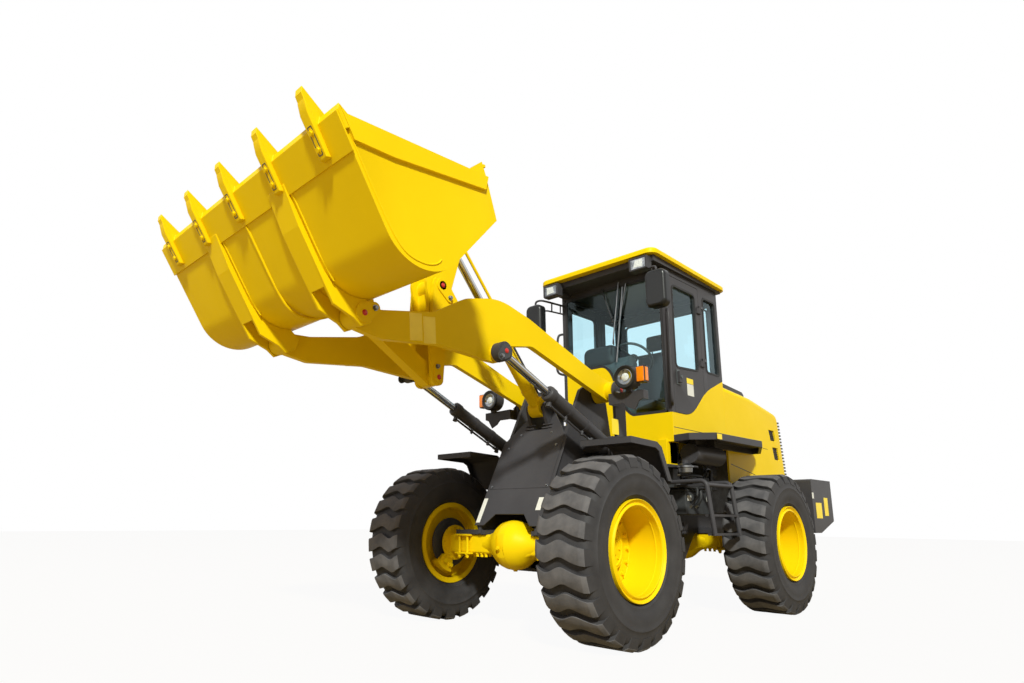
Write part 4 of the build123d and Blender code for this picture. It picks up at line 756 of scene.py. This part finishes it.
# ---- lamps ----
HEADLAMP = (0.858, 0.769, 2.033)
for name, material, turned, steps, section in (
        ("bezels", CASING, ring, 64, [(-0.002, 0.064), (-0.002, 0.0995), (0.01, 0.0995), (0.016, 0.096),
                                      (0.018, 0.09), (0.012, 0.07), (0.006, 0.064)]),
        ("glasses", LENS, spun, 48, [(-0.002, 0.0), (-0.002, 0.034), (0.003, 0.032), (0.007, 0.022),
                                     (0.009, 0.01), (0.0095, 0.0)]),
        ("reflectors", REFLECTOR, ring, 64, [(-0.002, 0.0335), (0.0, 0.0335), (0.003, 0.048), (0.011, 0.063),
                                             (-0.002, 0.063)]),
        ("rings", CHROME, ring, 64, [(0.002, 0.06), (0.002, 0.067), (0.008, 0.067), (0.01, 0.0635),
                                     (0.008, 0.06)])):
    bm = bmesh.new()
    turned(bm, section, HEADLAMP, (1, 0, 0), steps)
    from_hitch(f"headlamp_{name}", twin(bm), "front", material)
bm = bmesh.new()
slab(bm, (0.834, 0.866, 1.981), (0.848, 0.931, 2.104), 0.005)
slab(bm, (0.79, 0.934, 1.985), (0.828, 0.944, 2.1), 0.004)
from_hitch("flasher_lenses", twin(bm), "front", AMBER)
bm = bmesh.new()
seal(bm, "yz", [(0.437, 3.237), (0.623, 3.237), (0.623, 3.363), (0.437, 3.363)],
     0.149, 0.157, 0.014, 0.01)
from_hitch("work_lamp_bezels", twin(bm), "rear", BLACK)
bm = bmesh.new()
plate(bm, "yz", [(0.482, 3.268), (0.578, 3.262), (0.578, 3.34), (0.5, 3.334)], 0.149, 0.1535, 0.001)
from_hitch("work_lamp_glasses", twin(bm), "rear", LENS)
bm = bmesh.new()
slab(bm, (0.148, 0.448, 3.248), (0.151, 0.612, 3.352), 0.0008)
for y in (0.454, 0.462, 0.47, 0.59, 0.598, 0.606):    # flutes each side of the bulb
    bar(bm, (0.15, y, 3.256), (0.15, y, 3.344), 0.003, sides=8)
from_hitch("work_lamp_reflectors", twin(bm), "rear", REFLECTOR)


# ---- cab ----
def door_fittings(side, sign):
    """Window seal, lock and blank labels of one door."""
    bm = bmesh.new()
    window = [(-0.29, 2.325), (-0.775, 2.355), (-0.79, 3.19), (-0.3, 3.19)]
    seal(bm, "xz", window, *sorted((sign * 0.6, sign * 0.624)), 0.02, 0.06)
    from_hitch(f"door_{side}_window_seal", bm, f"door_{side}", RUBBER)
    bm = bmesh.new()
    bar(bm, (-0.323, sign * 0.654, 2.235), (-0.323, sign * 0.664, 2.235), 0.016, sides=24)
    inner, outer = sorted((sign * 0.619, sign * 0.63))
    slab(bm, (-0.352, inner, 2.16), (-0.294, outer, 2.31), 0.004)
    from_hitch(f"door_{side}_lock", bm, f"door_{side}", PLASTIC)
    inner, outer = sorted((sign * 0.6195, sign * 0.6212))
    for name, material, low, high in (("yellow", LABEL_YELLOW, 2.202, 2.256), ("white", LABEL_WHITE, 2.081, 2.198)):
        bm = bmesh.new()
        slab(bm, (-0.626, inner, low), (-0.496, outer, high), 0.0003)
        from_hitch(f"door_{side}_{name}_label", bm, f"door_{side}", material)


for side, sign in SIDES:
    door_fittings(side, sign)

bm = bmesh.new()
seal(bm, "xz", [(-0.935, 2.372), (-1.237, 2.372), (-1.237, 3.205), (-0.945, 3.205)], 0.6, 0.624, 0.02, 0.05)
twin(bm)
seal(bm, "yz", [(0.578, 1.882), (0.19, 1.882), (0.11, 1.96), (-0.04, 2.36), (-0.11, 2.432), (-0.578, 2.432),
                (-0.578, 3.268), (0.578, 3.268)], -0.179, -0.168, 0.024, 0.04)
seal(bm, "yz", [(0.518, 2.402), (-0.518, 2.402), (-0.518, 3.178), (0.518, 3.178)], -1.293, -1.276, 0.02, 0.05)
from_hitch("cab_window_seals", bm, "rear", RUBBER)

bm = bmesh.new()
bar(bm, (-0.15, 0.122, 3.3), (-0.15, 0.023, 2.654), 0.0065, sides=12)
bar(bm, (-0.16, 0.16, 3.24), (-0.16, 0.053, 2.456), 0.0075, sides=12)
bar(bm, (-0.152, 0.205, 3.262), (-0.152, 0.105, 2.85), 0.006, sides=12)
from_hitch("wiper_arms", bm, "rear", STEEL)
bm = bmesh.new()
slab(bm, (-0.158, 0.028, 2.64), (-0.144, 0.036, 2.7), 0.001)
bar(bm, (-0.166, 0.14, 3.1), (-0.166, 0.058, 2.5), 0.006, sides=8)
bar(bm, (-0.178, -0.082, 3.262), (-0.146, -0.082, 3.262), 0.016, sides=20)
bar(bm, (-0.15, -0.082, 3.262), (-0.15, 0.035, 2.885), 0.007, 0.005, sides=12)
bar(bm, (-0.15, 0.06, 2.885), (-0.15, 0.01, 2.885), 0.005, sides=12)
bar(bm, (-0.178, 0.205, 3.262), (-0.15, 0.205, 3.262), 0.014, sides=20)
from_hitch("windscreen_wipers", bm, "rear", RUBBER)

HANDLE_TOP = 2.865
for side, sign, low in (("left", 1, 1.98), ("right", -1, 2.46)):
    line = ((-0.2, 0.61, HANDLE_TOP + 0.03), (-0.16, 0.64, HANDLE_TOP + 0.03), (-0.128, 0.665, HANDLE_TOP),
            (-0.122, 0.668, HANDLE_TOP - 0.2), (-0.104, 0.668, low + 0.2), (-0.1, 0.665, low),
            (-0.15, 0.64, low - 0.03), (-0.2, 0.61, low - 0.03))
    hose(f"grab_handle_{side}", on_side(line, sign), 0.013, "rear", BLACK)

bm = bmesh.new()
slab(bm, (0.128, 0.622, 2.806), (0.222, 0.832, 3.17))
corners = [e for e in bm.edges if abs(e.verts[0].co.x - e.verts[1].co.x) > 0.05]
bevel(bm, corners, 0.062, 6)
rim_edges = [e for e in bm.edges if all(v.co.x > 0.221 for v in e.verts)]
bevel(bm, rim_edges, 0.034, 4)
twin(bm)
mirror_case = from_hitch("mirror_casings", bm, "rear", CASING, sharp=40)
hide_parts("mirrors")
bm = bmesh.new()
plate(bm, "yz", [(0.648, 2.84), (0.804, 2.84), (0.804, 3.14), (0.648, 3.14)], 0.127, 0.131, 0.001)
from_hitch("mirror_glasses", twin(bm), "rear", CHROME)
MIRROR_ARM = ((-0.2, 0.6, 3.215), (-0.1, 0.61, 3.215), (0.12, 0.64, 3.216), (0.165, 0.665, 3.218),
              (0.168, 0.72, 3.215), (0.168, 0.728, 3.18), (0.168, 0.728, 3.12))
MIRROR_STAY = ((-0.2, 0.6, 3.12), (0.0, 0.628, 3.118), (0.12, 0.64, 3.11), (0.16, 0.65, 3.08))
for side, sign in SIDES:
    hose(f"mirror_arm_{side}", on_side(MIRROR_ARM, sign), 0.011, "rear", BLACK)
    hose(f"mirror_stay_{side}", on_side(MIRROR_STAY, sign), 0.009, "rear", BLACK)
bm = bmesh.new()
bar(bm, (0.01, 0.629, 3.116), (0.01, 0.626, 3.216), 0.008, sides=16)
bar(bm, (-0.12, 0.612, 3.121), (-0.12, 0.609, 3.216), 0.007, sides=16)
from_hitch("mirror_bracket_ties", twin(bm), "rear", BLACK)

bm = bmesh.new()
cowl = slab(bm, (-0.4, -0.42, 2.43), (-0.215, -0.02, 2.69))
soften(bm, cowl, 0.08, 6)
from_hitch("instrument_hood", bm, "rear", RUBBER, sharp=40)
bm = bmesh.new()
for y, z in ((-0.3, 2.59), (-0.2, 2.61), (-0.11, 2.59)):
    ring(bm, [(0.0, 0.03), (0.0, 0.038), (0.006, 0.038), (0.008, 0.034), (0.006, 0.03)], (-0.398, y, z), (-1, 0, 0), 32)
    spun(bm, [(0.0, 0.0), (0.0, 0.031), (0.003, 0.031), (0.003, 0.0)], (-0.398, y, z), (-1, 0, 0), 32)
from_hitch("instruments", bm, "rear", STEEL)


# ---- seat ----
def pad(name, low, high, rounding, lean=0.0):
    """Cushion that starts as a rounded box, remeshed fine enough for its cover to move."""
    bm = bmesh.new()
    verts = slab(bm, low, high)
    soften(bm, verts, rounding, 4)
    if lean:
        foot = Vector(((low[0] + high[0]) / 2, 0, low[2]))
        bmesh.ops.rotate(bm, verts=bm.verts, cent=foot, matrix=Matrix.Rotation(radians(lean), 3, "Y"))
    obj = from_hitch(name, bm, "rear", CLOTH)
    grid = obj.modifiers.new("grid", "REMESH")
    grid.mode, grid.voxel_size = "VOXEL", 0.012
    settled = bpy.data.meshes.new_from_object(obj.evaluated_get(bpy.context.evaluated_depsgraph_get()))
    obj.modifiers.clear()
    obj.data = settled
    if not obj.data.materials:
        obj.data.materials.append(CLOTH)
    return obj


def blow_up(pads, cap):
    """Swell the covers under a little air, and hold every point within a cap of where it was sewn."""
    for obj in pads:
        cover = obj.modifiers.new("cover", "CLOTH")
        cover.settings.use_pressure, cover.settings.uniform_pressure_force = True, 4.0
        cover.settings.effector_weights.gravity = 0.0
        cover.settings.tension_stiffness = cover.settings.compression_stiffness = 20.0
    for frame_number in range(1, 21):
        bpy.context.scene.frame_set(frame_number)
    for obj in pads:
        blown = bpy.data.meshes.new_from_object(obj.evaluated_get(bpy.context.evaluated_depsgraph_get()))
        for sewn, free in zip(obj.data.vertices, blown.vertices):
            move = free.co - sewn.co
            sewn.co += move * min(1.0, cap / max(move.length, 1e-9))
        obj.modifiers.clear()
        bpy.data.meshes.remove(blown)
    bpy.context.scene.frame_set(1)
    for obj in pads:
        fine = obj.modifiers.new("fine", "SUBSURF")
        fine.levels = fine.render_levels = 1
        obj.data.polygons.foreach_set("use_smooth", [True] * len(obj.data.polygons))


cushion = pad("seat_cushion", (-1.0, -0.24, 2.004), (-0.548, 0.24, 2.098), 0.035)
backrest = pad("seat_backrest", (-1.052, -0.228, 2.12), (-0.945, 0.228, 2.735), 0.035, -7.0)
headrest = pad("seat_headrest", (-1.12, -0.13, 2.755), (-1.045, 0.13, 2.935), 0.03, -4.0)
blow_up([cushion, backrest, headrest], 0.012)
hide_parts("seat")
bm = bmesh.new()
for y in (-0.06, 0.06):
    bar(bm, (-1.075, y, 2.69), (-1.078, y, 2.79), 0.008, sides=16)
from_hitch("headrest_stems", bm, "rear", STEEL)


# ---- hood, platforms and counterweight ----
bm = bmesh.new()
for low, high, front in ((1.8, 1.925, -2.4), (1.58, 1.725, -2.47)):
    plate(bm, "xz", [(front, high), (front - 0.16, high), (front - 0.19, low), (front - 0.04, low)], 0.586, 0.5995)
    for i in range(1, 6):
        z = low + (high - low) * i / 6
        shift = -0.04 + 0.04 * i / 6
        slab(bm, (front + shift - 0.148, 0.596, z - 0.003), (front + shift - 0.004, 0.612, z + 0.003), 0.001)
from_hitch("hood_louvres", twin(bm), "rear", BLACK)
bm = bmesh.new()
plate(bm, "xz", [(-0.184, 1.74), (-0.9, 1.735), (-0.9, 1.729), (-0.184, 1.734)], 0.6195, 0.6206)
plate(bm, "xz", [(-1.336, 1.464), (-1.922, 1.38), (-1.922, 1.372), (-1.336, 1.456)], 0.6195, 0.6206)
plate(bm, "xz", [(-1.33, 1.742), (-2.33, 1.69), (-2.33, 1.685), (-1.33, 1.737)], 0.6195, 0.6206)
from_hitch("body_seams", twin(bm), "rear", RUBBER)
bm = bmesh.new()
slab(bm, (-0.354, 0.9905, 1.6), (-0.262, 0.9925, 1.648), 0.0004)
from_hitch("platform_blank_labels", twin(bm), "rear", LABEL_YELLOW)
bm = bmesh.new()
slab(bm, (-3.038, 0.8995, 0.913), (-2.853, 0.9012, 1.091), 0.0003)
slab(bm, (-3.253, 0.8995, 0.943), (-3.129, 0.9012, 1.154), 0.0003)
from_hitch("counterweight_yellow_labels", twin(bm), "rear", LABEL_YELLOW)
bm = bmesh.new()
slab(bm, (-2.812, 0.8995, 1.137), (-2.762, 0.9012, 1.205), 0.0003)
from_hitch("counterweight_white_labels", twin(bm), "rear", LABEL_WHITE)


# ---- machinery under the cab ----
bm = bmesh.new()
slab(bm, (-0.33, 0.47, 1.388), (-0.14, 0.56, 1.625), 0.006)
from_hitch("cab_front_posts", twin(bm), "rear", ENAMEL)
bm = bmesh.new()
slab(bm, (-0.96, 0.255, 0.93), (-0.44, 0.56, 1.15), 0.012)    # battery box on the frame
slab(bm, (-0.965, 0.25, 1.15), (-0.435, 0.565, 1.172), 0.008)
slab(bm, (-0.9, 0.251, 1.2), (-0.56, 0.47, 1.33), 0.015)    # valve block
for x in (-0.84, -0.76, -0.68, -0.6):
    bar(bm, (x, 0.3, 1.325), (x, 0.3, 1.4), 0.02, sides=16)
    bar(bm, (x, 0.468, 1.27), (x, 0.5, 1.27), 0.018, sides=6)
bar(bm, (-0.989, 0.42, 1.372), (-1.292, 0.42, 1.372), 0.072, sides=40)    # pump
bar(bm, (-1.04, 0.42, 1.372), (-1.06, 0.42, 1.372), 0.086, sides=40)
slab(bm, (-1.29, 0.245, 1.18), (-1.0, 0.48, 1.31), 0.012)
slab(bm, (-0.43, 0.25, 1.18), (-0.3, 0.52, 1.385), 0.01)
slab(bm, (-0.425, 0.252, 1.36), (-0.134, 0.568, 1.39), 0.004)    # bracket that carries the cab's front mount
from_hitch("chassis_machinery", twin(bm), "rear", CAST)
bm = bmesh.new()
spun(bm, [(0.0, 0.0), (0.0, 0.045), (0.01, 0.06), (0.05, 0.064), (0.055, 0.074), (0.068, 0.074),
          (0.073, 0.064), (0.092, 0.045), (0.096, 0.0)], (-0.215, 0.69, 1.3), (0, 0, 1), 40)
from_hitch("filter_bowl", bm, "rear", STEEL)
bm = bmesh.new()
slab(bm, (-0.39, 0.48, 1.36), (-0.18, 0.73, 1.376), 0.003)
bar(bm, (-0.215, 0.69, 1.374), (-0.215, 0.69, 1.42), 0.03, sides=24)
for x, y in ((-0.26, 0.69), (-0.17, 0.69)):
    hex_bolt(bm, (x, y, 1.376), (0, 0, 1), 0.01, 0.012)
from_hitch("filter_bracket", bm, "rear", BLACK)
PIPES = (    # the points of each hose, from the valve block, the pump or the box to its other end
    ((-0.84, 0.5, 1.27), (-0.84, 0.59, 1.26), (-0.7, 0.62, 1.18),
     (-0.48, 0.6, 1.185), (-0.36, 0.5, 1.22)),
    ((-0.76, 0.5, 1.27), (-0.76, 0.58, 1.29), (-0.62, 0.62, 1.3),
     (-0.44, 0.58, 1.3), (-0.38, 0.5, 1.31)),
    ((-0.68, 0.5, 1.27), (-0.68, 0.56, 1.24), (-0.64, 0.62, 1.13),
     (-0.63, 0.6, 1.04), (-0.63, 0.54, 1.0)),
    ((-0.6, 0.5, 1.27), (-0.6, 0.56, 1.24), (-0.54, 0.64, 1.16),
     (-0.52, 0.61, 1.05), (-0.52, 0.54, 1.0)),
    ((-0.84, 0.3, 1.395), (-0.84, 0.3, 1.47), (-0.76, 0.42, 1.5),
     (-0.56, 0.48, 1.48), (-0.38, 0.44, 1.38)),
    ((-0.68, 0.3, 1.395), (-0.68, 0.31, 1.45), (-0.56, 0.4, 1.46),
     (-0.4, 0.46, 1.44), (-0.34, 0.44, 1.375)),
    ((-1.04, 0.5, 1.372), (-0.98, 0.56, 1.38), (-0.9, 0.6, 1.3),
     (-0.9, 0.6, 1.18), (-0.9, 0.54, 1.06)))
for side, sign in SIDES:
    for i, line in enumerate(PIPES):
        r = 0.013 if i % 2 else 0.017
        hose(f"chassis_hose_{side}_{i}", on_side(line, sign), r, "rear", RUBBER)
bm = bmesh.new()
for line in PIPES:    # a crimped union on each end of a hose
    for end, inner in ((line[0], line[1]), (line[-1], line[-2])):
        way = (Vector(inner) - Vector(end)).normalized()
        bar(bm, Vector(end) - way * 0.012, Vector(end) + way * 0.018, 0.022, sides=6)
        bar(bm, Vector(end) + way * 0.018, Vector(end) + way * 0.045, 0.019, sides=16)
from_hitch("hose_unions", twin(bm), "rear", STEEL)
bm = bmesh.new()
for i in range(17):    # edge of the perforated grille beside the hood's rear corner
    z = 1.42 + i * 0.038
    x = -2.84 + (z - 1.36) * 0.154
    slab(bm, (x - 0.026, 0.56, z), (x + 0.004, 0.612, z + 0.02), 0.003)
from_hitch("grille_edge_tabs", twin(bm), "rear", STEEL)
bm = bmesh.new()
slab(bm, (-0.545, 0.5595, 1.06), (-0.47, 0.5612, 1.11), 0.0003)
slab(bm, (-0.93, 0.5595, 1.06), (-0.855, 0.5612, 1.11), 0.0003)
from_hitch("battery_blank_labels", bm, "rear", LABEL_WHITE)


# ---- camera, floor and light ----
EYE_AT = (5.513 + HITCH, 3.644, 0.869)
YAW, PITCH, ROLL = radians(227.53), radians(11.6), radians(0.48)
LENS_MM, SENSOR_MM = 22.9, 36.0
SHIFT_X, SHIFT_Y = 0.0658, 0.0428


def camera():
    """Camera near the front left corner, aimed back and slightly up."""
    ahead = Vector((cos(PITCH) * cos(YAW), cos(PITCH) * sin(YAW), sin(PITCH)))
    right = ahead.cross(Vector((0, 0, 1))).normalized()
    up = right.cross(ahead)
    turned_right = right * cos(ROLL) + up * sin(ROLL)
    turned_up = up * cos(ROLL) - right * sin(ROLL)
    data = bpy.data.cameras.new("camera")
    data.lens, data.sensor_width, data.shift_x, data.shift_y = LENS_MM, SENSOR_MM, SHIFT_X, SHIFT_Y
    obj = bpy.data.objects.new("camera", data)
    turn = Matrix((turned_right, turned_up, -ahead)).transposed().to_4x4()
    obj.matrix_world = Matrix.Translation(EYE_AT) @ turn
    bpy.context.scene.collection.objects.link(obj)
    bpy.context.scene.camera = obj


def floor():
    """Pale floor: the camera sees it mostly white, while the light that it throws back is sand-coloured."""
    bm = bmesh.new()
    bmesh.ops.create_grid(bm, x_segments=1, y_segments=1, size=40)
    mesh = bpy.data.meshes.new("floor")
    bm.to_mesh(mesh)
    bm.free()
    obj = bpy.data.objects.new("floor", mesh)
    bpy.context.scene.collection.objects.link(obj)
    material, tree = blank_material("pale_floor")
    matt = add(tree, "ShaderNodeBsdfDiffuse", {"Color": colour("#B3A07C")})
    white = add(tree, "ShaderNodeEmission", {"Color": (1, 1, 1, 1), "Strength": 1.0})
    path = add(tree, "ShaderNodeLightPath")
    mix = add(tree, "ShaderNodeMixShader", {1: (matt, "BSDF"), 2: (white, "Emission")})
    share = add(tree, "ShaderNodeMath", {0: (path, "Is Camera Ray"), 1: 0.945}, operation="MULTIPLY")
    tree.links.new(share.outputs[0], mix.inputs[0])
    add(tree, "ShaderNodeOutputMaterial", {"Surface": (mix, "Shader")})
    mesh.materials.append(material)


def lamp(name, aim, towards, size, power, tint):
    """Area lamp at a place, turned to a point."""
    data = bpy.data.lights.new(name, "AREA")
    data.size, data.energy, data.color = size, power, tint
    obj = bpy.data.objects.new(name, data)
    obj.location = aim
    obj.rotation_euler = (Vector(towards) - Vector(aim)).to_track_quat("-Z", "Y").to_euler()
    bpy.context.scene.collection.objects.link(obj)


def sky():
    """White to the camera, to reflections and through glass, and a weak warm fill to everything else."""
    world = bpy.data.worlds.new("studio")
    bpy.context.scene.world = world
    world.use_nodes = True
    tree = world.node_tree
    tree.nodes.clear()
    path = add(tree, "ShaderNodeLightPath")
    seen = add(tree, "ShaderNodeMath", {0: (path, "Is Camera Ray"), 1: (path, "Is Glossy Ray")}, operation="MAXIMUM")
    seen = add(tree, "ShaderNodeMath", {0: (seen, "Value"), 1: (path, "Is Transmission Ray")}, operation="MAXIMUM")
    fill = add(tree, "ShaderNodeBackground", {"Color": (1.0, 0.89, 0.74, 1), "Strength": 0.36})
    white = add(tree, "ShaderNodeBackground", {"Color": (1, 1, 1, 1), "Strength": 1.0})
    mix = add(tree, "ShaderNodeMixShader", {0: (seen, "Value"), 1: (fill, "Background"), 2: (white, "Background")})
    add(tree, "ShaderNodeOutputWorld", {"Surface": (mix, "Shader")})


camera()
floor()
sky()
lamp("key", (46.0, 46.0, 46.0), (0, 0, 1.2), 6.0, 88000, (0.97, 1.0, 0.9))
lamp("front_fill", (12.0, -4.0, 6.0), (0, 0, 1.5), 6.0, 120, (1.0, 0.97, 0.93))

bpy.context.scene.view_settings.view_transform = "Standard"
